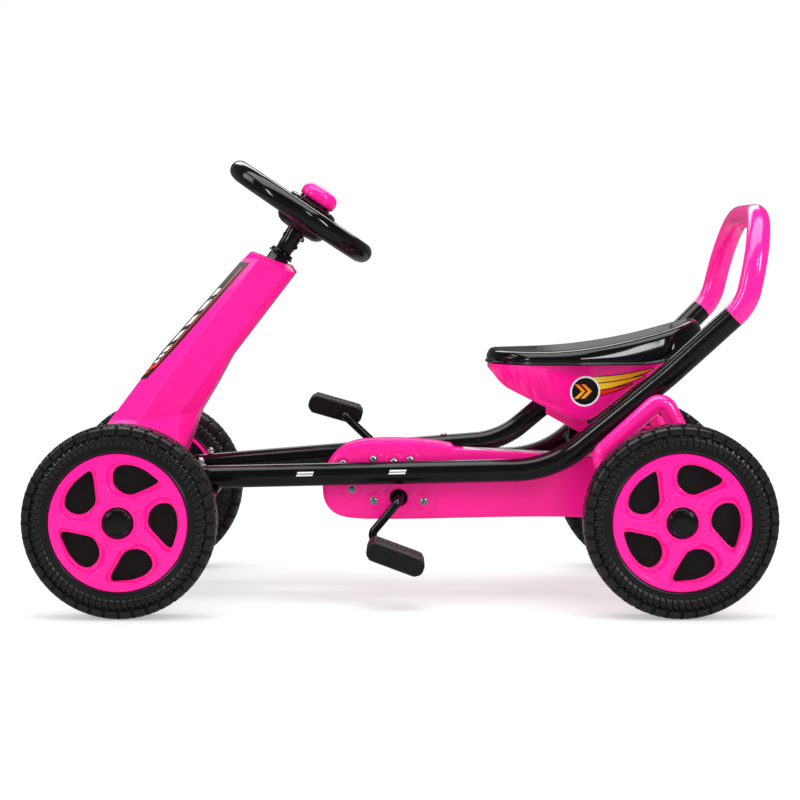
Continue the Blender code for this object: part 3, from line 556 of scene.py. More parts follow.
@dataclass(frozen=True)
class Finish:
    """One surface finish: its colour, its gloss and how both change over the surface."""

    label: str
    slot: str
    colour: tuple[float, float, float]
    roughness: float
    tone: float = 0.06
    spread: float = 0.06
    grain_scale: float = 900.0
    grain: float = 0.10
    metallic: float = 0.0
    specular: float = 0.5
    coat: float = 0.0
    coat_roughness: float = 0.04

    def material(self, paint: Optional[Paint] = None, name: str = "") -> bpy.types.Material:
        """The finish as a material.

        Args:
            paint: a function that paints a decal over the colour and roughness.
            name: the material's own name, where a decal makes it differ from the finish's.

        Returns:
            The material, made the first time and found by its name after that.
        """
        name = name or self.label
        if name in bpy.data.materials:
            return bpy.data.materials[name]
        material = bpy.data.materials.new(name)
        material.use_nodes = True
        tree = Tree(material.node_tree)
        shader = material.node_tree.nodes["Principled BSDF"]
        surface = tree.node("ShaderNodeGroup", node_tree=moulded_surface())
        surface.inputs["Colour"].default_value = (*self.colour, 1.0)
        for socket, value in (("Roughness", self.roughness), ("Tone", self.tone),
                              ("Spread", self.spread), ("Grain Scale", self.grain_scale),
                              ("Grain", self.grain)):
            surface.inputs[socket].default_value = value
        colour, rough = surface.outputs["Colour"], surface.outputs["Roughness"]
        if paint:
            colour, rough = paint(tree, colour, rough)
        tree.feed(shader.inputs["Base Color"], colour)
        tree.feed(shader.inputs["Roughness"], rough)
        tree.feed(shader.inputs["Normal"], surface.outputs["Normal"])
        for socket, value in (("Metallic", self.metallic), ("Specular IOR Level", self.specular),
                              ("Coat Weight", self.coat), ("Coat Roughness", self.coat_roughness)):
            shader.inputs[socket].default_value = value
        return material


PINK = (1.0, 0.0085, 0.292)
PINK_PLASTIC = Finish("pink_moulded_plastic", "pink_plastic", PINK, 0.20, 0.02, 0.03, 700, 0.001,
                      specular=0.40)
PINK_RIM = Finish("pink_rim_plastic", "pink_plastic", PINK, 0.16, 0.02, 0.03, 700, 0.001,
                  specular=0.45)
PINK_PAINT = Finish("pink_powder_coat", "pink_paint", PINK, 0.22, 0.02, 0.03, 420, 0.012,
                    specular=0.40, coat=0.7, coat_roughness=0.05)
BLACK_PAINT = Finish("black_tube_paint", "black_paint", (0.0030, 0.0030, 0.0033), 0.17, 0.2, 0.03,
                     520, 0.02, specular=0.42)
BLACK_PLASTIC = Finish("black_gloss_plastic", "black_plastic", (0.0028, 0.0028, 0.0030), 0.09, 0.2,
                       0.03, 800, 0.001, specular=0.42)
DULL_BLACK = Finish("black_grained_plastic", "dull_black_plastic", (0.0062, 0.0062, 0.0065), 0.42,
                    0.2, 0.10, 1400, 0.25, specular=0.32)
DISC_BLACK = Finish("black_disc_plastic", "dull_black_plastic", (0.0065, 0.0065, 0.0068), 0.55,
                    0.2, 0.08, 1200, 0.20, specular=0.16)
# The pedal tread is a rubber grey lighter than the pedal's black, partly as painted highlight for
# the light its tops catch.
TREAD_LIT_GREY = Finish("pedal_tread_rubber", "dull_black_plastic", (0.050, 0.050, 0.051), 0.46,
                    0.3, 0.10, 1300, 0.25, specular=0.40)
STEEL = Finish("zinc_plated_steel", "steel", (0.62, 0.62, 0.64), 0.24, 0.12, 0.18, 1100, 0.10,
               metallic=1.0)
RUBBER = Finish("tyre_rubber", "tread", (0.0060, 0.0060, 0.0062), 0.34, 0.3, 0.10, 1500, 0.20,
                specular=0.42)


def soften(obj: bpy.types.Object, name: str, width: float, segments: int, angle: float) -> None:
    """Rounds an object's edges with a live modifier.

    Args:
        obj: the object.
        name: the modifier's name.
        width: how wide the rounded edge is.
        segments: steps in it.
        angle: edges with a smaller angle, in degrees, stay as they are.
    """
    bevel = obj.modifiers.new(name, "BEVEL")
    bevel.width = width
    bevel.segments = segments
    bevel.limit_method = "ANGLE"
    bevel.angle_limit = math.radians(angle)
    bevel.harden_normals = True


@dataclass
class Assembly:
    """What every sub-assembly shares: it turns shapes into pieces that ride on a body."""

    made: list[str] = field(default_factory=list, init=False)

    def add(self, name: str, shape: Shape, finish: Finish, body: str,
            stands_for: Sequence[str] = (), material: Optional[bpy.types.Material] = None,
            sharp: float = 38.0, weld: float = 1.2e-6,
            marks: Optional[dict[str, Points]] = None) -> bpy.types.Object:
        """Makes a shape a dressed piece of the object.

        Args:
            name: the piece's name.
            shape: its points and faces, in the frame's own place.
            finish: what it is made of.
            body: the body that it rides on.
            stands_for: the frame's nodes that it replaces.
            material: a material of its own, such as a finish with a decal.
            sharp: edges with a greater angle, in degrees, stay sharp.
            weld: points nearer than this become one; 0 keeps them all.
            marks: numbers on the points, by attribute name, for materials to read.

        Returns:
            The new object.
        """
        mesh = bpy.data.meshes.new(name)
        corners = np.concatenate([face.reshape(-1) for face in shape.faces]).astype(np.int32)
        counts = np.concatenate([np.full(len(face), face.shape[1]) for face in shape.faces])
        mesh.vertices.add(len(shape.points))
        mesh.vertices.foreach_set("co", shape.points.astype(np.float32).reshape(-1))
        mesh.loops.add(len(corners))
        mesh.loops.foreach_set("vertex_index", corners)
        mesh.polygons.add(len(counts))
        starts = np.concatenate([[0], np.cumsum(counts)[:-1]]).astype(np.int32)
        mesh.polygons.foreach_set("loop_start", starts)
        mesh.update(calc_edges=True)
        for label, values in (marks or {}).items():
            layer = mesh.attributes.new(label, "FLOAT", "POINT")
            layer.data.foreach_set("value", values.astype(np.float32).reshape(-1))
        bm = bmesh.new()
        bm.from_mesh(mesh)
        if weld:
            bmesh.ops.remove_doubles(bm, verts=bm.verts, dist=weld)
            bmesh.ops.dissolve_degenerate(bm, edges=bm.edges, dist=1e-7)
        bmesh.ops.recalc_face_normals(bm, faces=bm.faces)
        bm.to_mesh(mesh)
        bm.free()
        mesh.shade_smooth()
        mesh.set_sharp_from_angle(angle=math.radians(sharp))
        obj = bpy.data.objects.new(name, mesh)
        bpy.context.scene.collection.objects.link(obj)
        mesh.materials.append(material or finish.material())
        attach(obj, body)
        if stands_for:
            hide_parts(*stands_for)
        self.made.append(name)
        return obj

    def dress(self, node: str, finish: Finish) -> None:
        """Gives a node of the frame its finish, and rounds its edges with live modifiers.

        Args:
            node: the node's name.
            finish: what it is made of.
        """
        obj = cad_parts[node]
        for slot in obj.material_slots:
            slot.material = finish.material()
        if not obj.material_slots:
            obj.data.materials.append(finish.material())
        weld = obj.modifiers.new("weld", "WELD")
        weld.merge_threshold = 0.00002
        soften(obj, "edge", 0.0006, 2, 40.0)
        self.made.append(node)

    def report(self) -> None:
        """Logs each piece that this sub-assembly made or dressed."""
        for name in self.made:
            LOG.info("%s: %s", type(self).__name__, name)


def screw_shape(radius: float, height: float) -> Shape:
    """A pan-head cross-slot screw head standing on Z, with its washer.

    The slot is a pit in the dome: the dome's height falls where a point is near either arm.

    Args:
        radius: of the head.
        height: of the dome.

    Returns:
        The head on its washer.
    """
    rings = np.array([0.0, 0.18, 0.32, 0.42, 0.5, 0.62, 0.78, 0.9, 0.97, 1.0])
    angle = np.arange(32) * 2 * np.pi / 32
    x, y = rings[:, None] * np.cos(angle), rings[:, None] * np.sin(angle)
    dome = height * np.sqrt(np.clip(1.0 - 0.72 * rings[:, None] ** 2.6, 0, 1)) * np.ones_like(x)
    arm = np.minimum(np.abs(x), np.abs(y))
    slot = (1 - smoothstep(0.10, 0.17, arm)) * (1 - smoothstep(0.45, 0.58, rings[:, None]))
    top = dome - 0.55 * height * slot
    rows = np.stack([x * radius, y * radius, top], axis=-1)
    low = rows[-1:] * [1, 1, 0]
    head = grid(np.vstack([rows, low, low * 0.5]), caps=True)
    washer = lathe([(radius * 0.9, 0), (radius * 1.28, 0), (radius * 1.32, height * 0.1),
                    (radius * 1.28, height * 0.2), (radius * 0.9, height * 0.2)], 32)
    return head + washer


def hex_shape(radius: float, height: float) -> Shape:
    """A hexagon nut or bolt head standing on Z, with its corners turned down.

    Args:
        radius: from the middle to a corner.
        height: from foot to top.

    Returns:
        The closed solid.
    """
    angle = np.arange(48) * 2 * np.pi / 48
    hexagon = radius * math.cos(math.pi / 6) / np.cos((angle + np.pi / 6) % (np.pi / 3) - np.pi / 6)
    rows = []
    for factor, level in ((1.0, 0.0), (1.0, 0.72), (0.93, 0.93), (0.84, 1.0), (0.5, 1.0)):
        reach = np.minimum(hexagon, radius * (0.5 + 0.5 * factor)) * (factor if factor < 0.9 else 1)
        rows.append(np.stack([reach * np.cos(angle), reach * np.sin(angle),
                              np.full(48, level * height)], axis=-1))
    return grid(np.array(rows), caps=True)


@dataclass
class Studio:
    """Floor, backdrop, soft lights and the camera at the photograph's angle."""

    eye: tuple[float, float, float] = (0.0, -2.79145, 0.47227)
    pitch: float = 4.245
    lens: float = 91.15
    floor_half: float = 6.0
    fade_from: float = 0.95
    fade_to: float = 1.9
    far_gloss: float = 0.12
    floor_glow: float = 0.42
    floor_dim: float = 0.80
    white: tuple[float, ...] = (1.0, 1.0, 1.0, 1)
    daylight: tuple[float, ...] = (0.74, 0.74, 0.75, 1)
    ceiling: tuple[float, ...] = (0.05, 0.05, 0.052, 1)
    floor_colour: tuple[float, ...] = (0.86, 0.86, 0.865, 1)
    lamps: tuple[tuple, ...] = (
        ("top_softbox", (0.0, -0.15, 2.1), (0, 0, 0), (2.6, 1.5), 43.0),
        ("front_fill", (-2.1, -1.7, 1.3), (-0.1, 0, 0.2), (0.32, 1.0), 14.0),
        ("rear_fill", (2.1, -1.5, 1.4), (0.1, 0, 0.2), (0.32, 1.0), 21.0),
        ("window", (1.45, -2.5, 2.0), (0.25, 0, 0.3), (0.30, 0.60), 9.0),
        ("left_light", (-2.6, 0.3, 1.9), (-0.2, 0, 0.3), (0.9, 1.6), 14.0),
        ("back_light", (0.0, 2.0, 1.7), (0, 0, 0.2), (2.0, 0.8), 16.0),
    )

    def build(self) -> None:
        """Sets up everything that isn't the object."""
        scene = bpy.context.scene
        scene.view_settings.view_transform = "Standard"
        self.camera()
        self.world()
        self.floor()
        for lamp in self.lamps:
            self.softbox(*lamp)

    def camera(self) -> None:
        """The camera: a long lens from the left, a little above the wheels."""
        data = bpy.data.cameras.new("camera")
        data.lens = self.lens
        data.sensor_width = 36.0
        camera = bpy.data.objects.new("camera", data)
        camera.location = self.eye
        camera.rotation_euler = (math.radians(90.0 - self.pitch), 0.0, 0.0)
        bpy.context.scene.collection.objects.link(camera)
        bpy.context.scene.camera = camera

    def world(self) -> None:
        """White for camera and clear rays, an even soft light, and a dim room in reflections."""
        world = bpy.data.worlds.new("studio")
        bpy.context.scene.world = world
        world.use_nodes = True
        tree = Tree(world.node_tree)
        world.node_tree.nodes.clear()
        rays = tree.node("ShaderNodeLightPath")
        high = tree.above(tree.place("Generated")[2], 0.30, 0.5)
        room = tree.mix(high, (self.far_gloss, self.far_gloss, self.far_gloss, 1), self.ceiling)
        light = tree.mix(rays.outputs["Is Glossy Ray"], self.daylight, room)
        seen = tree.math("MAXIMUM", rays.outputs["Is Camera Ray"],
                         rays.outputs["Is Transmission Ray"])
        colour = tree.mix(seen, light, self.white)
        background, output = tree.node("ShaderNodeBackground"), tree.node("ShaderNodeOutputWorld")
        tree.feed(background.inputs[0], colour)
        tree.feed(output.inputs[0], background.outputs[0])

    def floor(self) -> None:
        """A white floor that keeps the kart's shadow and fades into the white backdrop."""
        half = self.floor_half
        mesh = bpy.data.meshes.new("floor")
        corners = [(-half, -half, 0), (half, -half, 0), (half, half, 0), (-half, half, 0)]
        mesh.from_pydata(corners, [], [(0, 1, 2, 3)])
        floor = bpy.data.objects.new("floor", mesh)
        bpy.context.scene.collection.objects.link(floor)
        material = bpy.data.materials.new("white_floor")
        material.use_nodes = True
        tree = Tree(material.node_tree)
        shader = material.node_tree.nodes["Principled BSDF"]
        output = material.node_tree.nodes["Material Output"]
        x, y, _ = tree.place()
        away = tree.distance(x, y)
        fade = tree.above(away, (self.fade_from + self.fade_to) / 2, self.fade_to - self.fade_from)
        for name, value in (("Base Color", self.floor_colour), ("Roughness", 0.6),
                            ("Specular IOR Level", 0.2)):
            shader.inputs[name].default_value = value
        glow, mix = tree.node("ShaderNodeEmission"), tree.node("ShaderNodeMixShader")
        rays = tree.node("ShaderNodeLightPath")
        seen = tree.either(rays.outputs["Is Camera Ray"], rays.outputs["Is Glossy Ray"],
                           rays.outputs["Is Transmission Ray"])
        tree.feed(glow.inputs["Strength"],
                  tree.blend(rays.outputs["Is Glossy Ray"], 1.0, self.far_gloss))
        clear = tree.math("MULTIPLY", rays.outputs["Is Camera Ray"], self.floor_glow)
        dim = tree.math("MULTIPLY", rays.outputs["Is Glossy Ray"], self.floor_dim)
        tree.feed(mix.inputs[0], tree.either(tree.math("MULTIPLY", fade, seen), clear, dim))
        tree.feed(mix.inputs[1], shader.outputs[0])
        tree.feed(mix.inputs[2], glow.outputs[0])
        tree.feed(output.inputs["Surface"], mix.outputs[0])
        mesh.materials.append(material)

    def softbox(self, name: str, at: Sequence[float], towards: Sequence[float],
                size: tuple[float, float], power: float) -> None:
        """One rectangular area light aimed at a point.

        Args:
            name: the lamp's name.
            at: its middle.
            towards: the point that it faces.
            size: its width and height.
            power: in watts.
        """
        data = bpy.data.lights.new(name, "AREA")
        data.shape = "RECTANGLE"
        data.size, data.size_y = size
        data.energy = power
        lamp = bpy.data.objects.new(name, data)
        lamp.location = at
        aim = Vector(towards) - Vector(at)
        lamp.rotation_euler = aim.to_track_quat("-Z", "Y").to_euler()
        bpy.context.scene.collection.objects.link(lamp)


def catmull_rom(spots: Points, samples: int) -> Points:
    """A closed smooth curve through points, as the cubic of the four nearest for each span.

    Args:
        spots: the points, in order round it.
        samples: how many points each span gets.

    Returns:
        The curve's points.
    """
    before, after, later = (np.roll(spots, shift, axis=0) for shift in (1, -1, -2))
    t = (np.arange(samples) / samples)[None, :, None]
    one, two, three, four = (p[:, None] for p in (before, spots, after, later))
    curve = 0.5 * (2 * two + (three - one) * t + (2 * one - 5 * two + 4 * three - four) * t ** 2
                   + (3 * two - one - 3 * three + four) * t ** 3)
    return curve.reshape(-1, 2)


def resampled(path: Points, count: int) -> Points:
    """A 2-D path cut into equal lengths, both ends included.

    Args:
        path: its points.
        count: how many lengths it is cut into.

    Returns:
        The points at the cuts.
    """
    steps = np.linalg.norm(np.diff(path, axis=0), axis=1)
    length = np.concatenate([[0.0], np.cumsum(steps)])
    spots = np.linspace(0.0, length[-1], count + 1)
    return np.column_stack([np.interp(spots, length, path[:, k]) for k in (0, 1)])


@dataclass
class RoadWheel(Assembly):
    """One wheel: block-tread tyre, five-opening rim, black disc behind it and a hub cap.

    Its own axes are u to the right and v up as the wheel is seen from outside, and w outwards.
    """

    end: End
    side: Side
    body: str
    opening_turn: float = -2.6
    inner_turn: float = 41.0
    outer_turn: float = 31.0
    runs: tuple[int, ...] = (40, 28, 20, 36)
    face: float = 0.0235
    web_back: float = 0.0120
    hub_ring: float = 0.0340
    web_ring: float = 0.0795
    rim_radius: float = 0.0892
    dish: float = 0.0068
    lugs: int = 40
    tread_limit: float = 124.85

    def build(self) -> None:
        """Makes the four pieces of the wheel."""
        sign = self.side.value
        turn = Matrix(((-sign, 0, 0, self.end.value * WHEELBASE / 2),
                       (0, 0, sign, sign * TRACK / 2), (0, 1, 0, HUB_HEIGHT), (0, 0, 0, 1)))
        tag = "%s_%s" % (self.side.tag, self.end.tag)
        rim = self.rim()
        # The rim's material paints a dark ring of shade round the foot of each boss.
        self.add("wheel_%s_rim" % tag, rim.placed(turn), PINK_RIM, self.body, [tag + "_rim"],
                 sharp=32.0, marks={"rim_u": rim.points[:, 0], "rim_v": rim.points[:, 1]},
                 material=PINK_RIM.material(boss_groove_shade, "rim_plastic_boss_shade"))
        for part, shape, finish, sharp in (("hub", self.hub(), DISC_BLACK, 38.0),
                                           ("cap", self.cap(), BLACK_PLASTIC, 60.0)):
            node = "%s_%s" % (tag, part)
            self.add("wheel_" + node, shape.placed(turn), finish, self.body, [node], sharp=sharp)
        shape, height = self.tyre()
        node = tag + "_tyre"
        self.add("wheel_" + node, shape.placed(turn), RUBBER, self.body, [node], sharp=30.0,
                 material=rubber_material(), weld=0.0, marks={"lug": height})

    def opening(self) -> Points:
        """The outline of one opening about its own middle angle, as four runs of points.

        It is a smooth closed curve through twelve points: a blunt end on one side, a tip on the
        other. The runs go outer side, blunt side, inner side, straight side.

        Returns:
            The outline's points.
        """
        spots = np.array([
            (66.8, 24.1), (73.1, 14.2), (75.0, -2.0), (72.2, -18.1), (69.4, -26.6), (63.1, -26.1),
            (50.4, -14.4), (39.5, -2.0), (39.0, 10.5), (43.6, 19.8), (50.0, 24.5), (58.7, 26.6),
        ]) / MM_PER_M
        spots = spots.mean(axis=0) + (spots - spots.mean(axis=0)) * [1.035, 1.055]
        samples = 12
        curve = catmull_rom(spots[::-1], samples)
        curve = np.vstack([curve, curve])
        spans = (4, 3, 2, 3)
        start = (len(spots) - 1 - spans[0]) * samples
        rows = []
        for span, count in zip(spans, self.runs):
            run = curve[start:start + span * samples + 1]
            rows.append(resampled(run, count)[:-1])
            start += span * samples
        return np.vstack(rows)

    def sector_edge(self) -> Points:
        """The edge of one fifth of the web, point for point with the opening's outline.

        Its two sides swirl: their angle is 41 degrees inside and falls to 31 degrees outside.

        Returns:
            The edge's points.
        """
        inner, outer = self.hub_ring, self.web_ring
        near, far = self.inner_turn, self.outer_turn

        def swirl(radius: Points) -> Points:
            """The angle of a side at a radius, in degrees."""
            return near - (near - far) * smoothstep(0.048, outer, radius)

        def polar(radius: Points, degrees: Points) -> Points:
            """Points (u, v) at a radius and an angle."""
            angle = np.radians(degrees)
            return np.column_stack([radius * np.cos(angle), radius * np.sin(angle)])

        ahead, down, back, up = (np.linspace(start, stop, count + 1)[:-1] for start, stop, count in
                                 zip((far - FIFTH, outer, near, inner),
                                     (far, inner, near - FIFTH, outer), self.runs))
        return np.vstack([polar(np.full(len(ahead), outer), ahead), polar(down, swirl(down)),
                          polar(np.full(len(back), inner), back), polar(up, swirl(up) - FIFTH)])

    def web(self) -> Shape:
        """One fifth of the rim's web: wall, rounded lip, dished band and back.

        A row lies a fraction of the way from the opening to the sector's edge. Its height under
        the face is dish (1 - s), where s rises smoothly over the band's own width there.

        Returns:
            One fifth of the web, open along its edge.
        """
        hole, edge = self.opening(), self.sector_edge()
        gap = np.linalg.norm(edge - hole, axis=1)
        corner = np.cumsum([0, *self.runs])
        at = np.arange(len(hole))
        widths = np.interp(at, corner[[0, 0, 1, 1, 2, 3, 3, 4]] + [0, 10, -8, 6, 0, -4, 8, 0],
                           [7.0, 4.2, 5.0, 12.0, 11.0, 9.0, 4.6, 7.0]) / MM_PER_M
        widths = np.minimum(widths, gap * 0.92)
        lip = 0.0014
        quarter = np.linspace(0, np.pi / 2, 5)
        reach, fall = lip * (1 - np.cos(quarter)), lip * (1 - np.sin(quarter))
        rows = [np.column_stack([hole, np.full(len(hole), self.web_back)])]
        towards = (edge - hole) / gap[:, None]
        for out, drop in zip(reach, fall):
            rows.append(np.column_stack([hole + towards * out,
                                         np.full(len(hole), self.face - self.dish - drop)]))
        for step in np.concatenate([np.linspace(0.10, 1.0, 13), np.linspace(1.0, 2.0, 6)[1:]]):
            if step <= 1.0:
                out = lip + (widths - lip) * step
            else:
                out = widths + (gap - widths) * (step - 1.0)
            rise = smoothstep(0.22, 1.0, np.minimum(step, 1.0))
            rows.append(np.column_stack([hole + towards * out[:, None],
                                         np.full(len(hole), self.face - self.dish * (1 - rise))]))
        for fraction in (1.0, 0.5, 0.0):
            flat = hole + (edge - hole) * fraction
            rows.append(np.column_stack([flat, np.full(len(hole), self.web_back)]))
        net = np.array(rows)
        return grid(net[:-3]) + grid(net[-3:])

    def rim(self) -> Shape:
        """The pink rim: five sectors, the outer ring with its barrel, and the hub's ring.

        Returns:
            The whole rim.
        """
        middle = math.radians(self.opening_turn)
        turns = [Matrix.Rotation(middle + 2 * math.pi * k / SPOKES, 4, "Z")
                 for k in range(SPOKES)]
        web = self.web().copies(turns)
        face, back, outer = self.face, self.web_back, self.web_ring
        ring_sides, hub_sides = SPOKES * self.runs[0], SPOKES * self.runs[2]
        start = Matrix.Rotation(middle + math.radians(self.outer_turn), 4, "Z")
        ring = lathe([
            (outer, face), (0.0806, face), (0.0812, face - 0.0003), (0.0818, face - 0.0003),
            (0.0825, face + 0.0002), (0.0865, face + 0.0002), (0.0880, face - 0.0002),
            (0.0889, face - 0.0012), (self.rim_radius, face - 0.0026), (self.rim_radius, 0.0),
            (self.rim_radius, 0.0026 - face), (0.0885, -face), (0.0850, -face),
            (0.0838, 0.0012 - face), (0.0834, 0.0), (0.0830, back), (outer, back),
        ], ring_sides)
        ring = Shape(ring.points, [ring.faces[0][:-ring_sides]]).placed(start)
        hub = lathe([
            (self.hub_ring, back), (0.0202, back), (0.0202, face - 0.0012), (0.0206, face - 0.0003),
            (0.0213, face), (0.0232, face), (0.0235, face - 0.0007), (0.0240, face - 0.0007),
            (0.0243, face), (self.hub_ring, face),
        ], hub_sides)
        hub = Shape(hub.points, [hub.faces[0][:-hub_sides]])
        hub = hub.placed(Matrix.Rotation(middle + math.radians(self.inner_turn), 4, "Z"))
        boss = lathe([(0.0, -0.001), (0.0045, -0.001), (0.0044, 0.0005), (0.0041, 0.0009),
                      (0.0036, 0.0009), (0.0033, 0.0005), (0.0, 0.0005)], 28)
        bosses = [Matrix.Rotation(math.radians(BOSS_TURN + FIFTH * k), 4, "Z")
                  @ Matrix.Translation((BOSS_RING, 0, face)) for k in range(SPOKES)]
        return web + ring + hub + boss.copies(bosses)

    def hub(self) -> Shape:
        """The black disc behind the openings, its nose round the axle and ribs on its back.

        Returns:
            The disc with its ribs.
        """
        bore, nose, front, rear = 0.0063, 0.0194, 0.0117, -0.0060
        disc = lathe([
            (bore, 0.0195), (nose - 0.0006, 0.0195), (nose, 0.0189), (nose, front), (0.0800, front),
            (0.0806, front - 0.0006), (0.0806, rear + 0.0006), (0.0800, rear), (0.0262, rear),
            (0.0256, -0.0214), (0.0250, -0.0220), (bore, -0.0220),
        ], 96)
        rib = rounded_block((0.0250, -0.0011, -0.0150), (0.0790, 0.0011, rear + 0.0010), 0.0005, 2)
        slope = rib.points.copy()
        slope[:, 2] = np.where(slope[:, 2] < -0.010, slope[:, 2] + 0.11 * (slope[:, 0] - 0.025),
                               slope[:, 2])
        rib = Shape(slope, rib.faces)
        return disc + rib.copies([Matrix.Rotation(math.radians(36 * k), 4, "Z") for k in range(10)])

    def cap(self) -> Shape:
        """The hub cap: a bevelled rim round a slightly crowned disc.

        Returns:
            The closed cap.
        """
        return lathe([
            (0.0, 0.0268), (0.0080, 0.0267), (0.0140, 0.0265), (0.0150, 0.0262), (0.0153, 0.0259),
            (0.0159, 0.0264), (0.0168, 0.0263), (0.0180, 0.0253), (0.0188, 0.0240),
            (0.0190, 0.0226), (0.0190, 0.0200), (0.0120, 0.0200), (0.0, 0.0200),
        ], 72)

    def tyre(self) -> tuple[Shape, Points]:
        """The tyre as a height field over its carcass.

        A row is a place on the carcass's section and a column an angle. Each pitch of the tread
        has a phase from 0 to 1, 0 being the gap between shoulder lugs. The height is a sum of
        windows in phase and place: lugs, bricks, ribs, wedge grooves and pits.

        Returns:
            The closed surface, and each point's height in millimetres.
        """
        pitch = np.array([0.0, 0.045, 0.075, 0.115, 0.17, 0.22, 0.26, 0.30, 0.36, 0.43, 0.465,
                          0.50, 0.535, 0.57, 0.64, 0.70, 0.74, 0.78, 0.83, 0.885, 0.925, 0.955])
        phase = np.tile(pitch, self.lugs)[None, :]
        angle = ((np.repeat(np.arange(self.lugs), len(pitch)) + phase[0]) * 2 * np.pi / self.lugs)
        side_r = np.array([
            89.35, 89.6, 90.4, 91.6, 92.4, 92.9, 95.0, 97.0, 98.8, 99.3, 99.8, 100.6, 101.6, 102.8,
            104.0, 105.4, 106.8, 108.0, 109.2, 110.0, 110.7, 111.3, 111.9, 112.5, 113.1, 113.6,
            114.0, 115.4, 117.2, 118.8, 119.2])
        knots = [89.3, 89.8, 91.2, 92.4, 93.0, 98.8, 100.0, 102.0, 104.0, 106.0, 108.0, 110.0,
                 112.0, 113.8, 117.0, 119.4]
        side_w = np.interp(side_r, knots, [22.2, 23.6, 24.3, 24.2, 23.7, 23.6, 24.2, 25.7, 26.1,
                                           25.9, 25.2, 24.0, 22.9, 22.9, 23.3, 23.0])
        crown_w = np.array([23.4, 22.4, 21.0, 19.4, 19.0, 17.4, 17.0, 14.5, 11.5, 8.4, 8.0, 6.4,
                            6.0, 3.0, 0.0])
        crown_r = np.interp(-crown_w, [-24.2, -22.0, -18.0, -12.0, 0.0],
                            [119.4, 120.6, 121.9, 122.4, 122.6])
        radius = np.concatenate([side_r, crown_r])
        across = np.concatenate([side_w, crown_w])
        radius = np.concatenate([radius, radius[-2::-1]])
        across = np.concatenate([across, -across[-2::-1]])
        flank = np.arange(len(radius)) < len(side_r)
        flank = flank | flank[::-1]
        step_r, step_w = np.gradient(radius), np.gradient(across)
        length = np.hypot(step_r, step_w)
        normal_r, normal_w = -step_w / length, step_r / length
        place, level = radius[:, None], np.abs(across)[:, None]
        phase = (phase + np.where(across < 0, 0.5, 0.0)[:, None]) % 1.0
        height = np.where(flank[:, None], self.flank_height(place, phase),
                          self.crown_height(level, phase))
        far = radius[:, None] + normal_r[:, None] * height
        wide = across[:, None] + normal_w[:, None] * height
        far = np.minimum(far, self.tread_limit)
        points = np.stack([far * np.cos(angle), far * np.sin(angle), wide], axis=-1)
        return grid(points / MM_PER_M, wrap_rows=True), height

    def flank_height(self, place: Points, phase: Points) -> Points:
        """Height on the tyre's side, in millimetres, by radius in millimetres and phase.

        Args:
            place: radius at each point, in millimetres.
            phase: phase of the pitch at each point.

        Returns:
            The height at each point.
        """
        lug = 3.2 * window(place, 113.7, 119.6, 0.4) * window(phase, 0.075, 0.925, 0.03)
        slant = (place - 105.0) * 0.012
        near = np.minimum(np.abs(phase - 0.26 - slant), np.abs(phase - 0.74 - slant))
        body = window(place, 99.5, 112.4, 1.2)
        rib = 1.5 * body * smoothstep(0.008, 0.075, near)
        short = -1.5 * window(place, 107.5, 112.6, 1.0) * (
            1 - smoothstep(0.012, 0.055, np.minimum(phase, 1 - phase)))
        short = short - 1.5 * window(place, 108.5, 112.6, 1.0) * (
            1 - smoothstep(0.012, 0.055, np.abs(phase - 0.5)))
        pit = -1.3 * np.exp(-(((place - 110.2) / 0.6) ** 2 + ((phase - 0.36) / 0.03) ** 2))
        pit = pit - 1.3 * np.exp(-(((place - 110.2) / 0.6) ** 2 + ((phase - 0.86) / 0.03) ** 2))
        bead = 0.6 * window(place, 90.4, 92.2, 0.8)
        line = -0.4 * window(place, 98.9, 99.5, 0.3)
        return lug + rib + short + pit + bead + line

    def crown_height(self, level: Points, phase: Points) -> Points:
        """Height on the tread, in millimetres, by distance from the middle plane and phase.

        Args:
            level: distance from the middle plane, in millimetres.
            phase: phase of the pitch at each point.

        Returns:
            The height at each point.
        """
        brick = 2.4 * window(level, 19.2, 23.9, 0.4) * window(phase, 0.075, 0.925, 0.05)
        shifted = (phase + 0.25) % 1.0
        block = 2.5 * window(level, 8.2, 17.2, 0.4) * window(shifted, 0.07, 0.93, 0.05)
        nick = -0.9 * window(level, 8.2, 17.2, 0.4) * window(shifted, 0.47, 0.53, 0.04)
        middle = window((phase + 0.5) % 1, 0.06, 0.94, 0.05)
        centre = 2.5 * (1 - smoothstep(6.0, 6.4, level)) * middle
        return brick + block + nick + centre


def boss_groove_shade(tree: Tree, colour: Socket, rough: Socket) -> tuple[Socket, Socket]:
    """A fine darker ring round each of the five small bosses on a rim's hub, painted shade at each
    boss's foot.

    Args:
        tree: the material's nodes.
        colour: the finish's own colour.
        rough: the finish's own roughness.

    Returns:
        The colour and the roughness with this on them.
    """
    u, v = tree.attribute("rim_u"), tree.attribute("rim_v")
    lines = []
    for k in range(SPOKES):
        angle = math.radians(BOSS_TURN + FIFTH * k)
        right = tree.math("SUBTRACT", u, BOSS_RING * math.cos(angle))
        up = tree.math("SUBTRACT", v, BOSS_RING * math.sin(angle))
        lines.append(tree.between(tree.distance(right, up), 0.0042, 0.0048))
    # Painted shade: a dark pink ring mixed in at the foot of each boss.
    painted_shade = tree.math("MULTIPLY", tree.either(*lines), 0.55)
    return tree.mix(painted_shade, colour, (0.48, 0.003, 0.13, 1)), rough


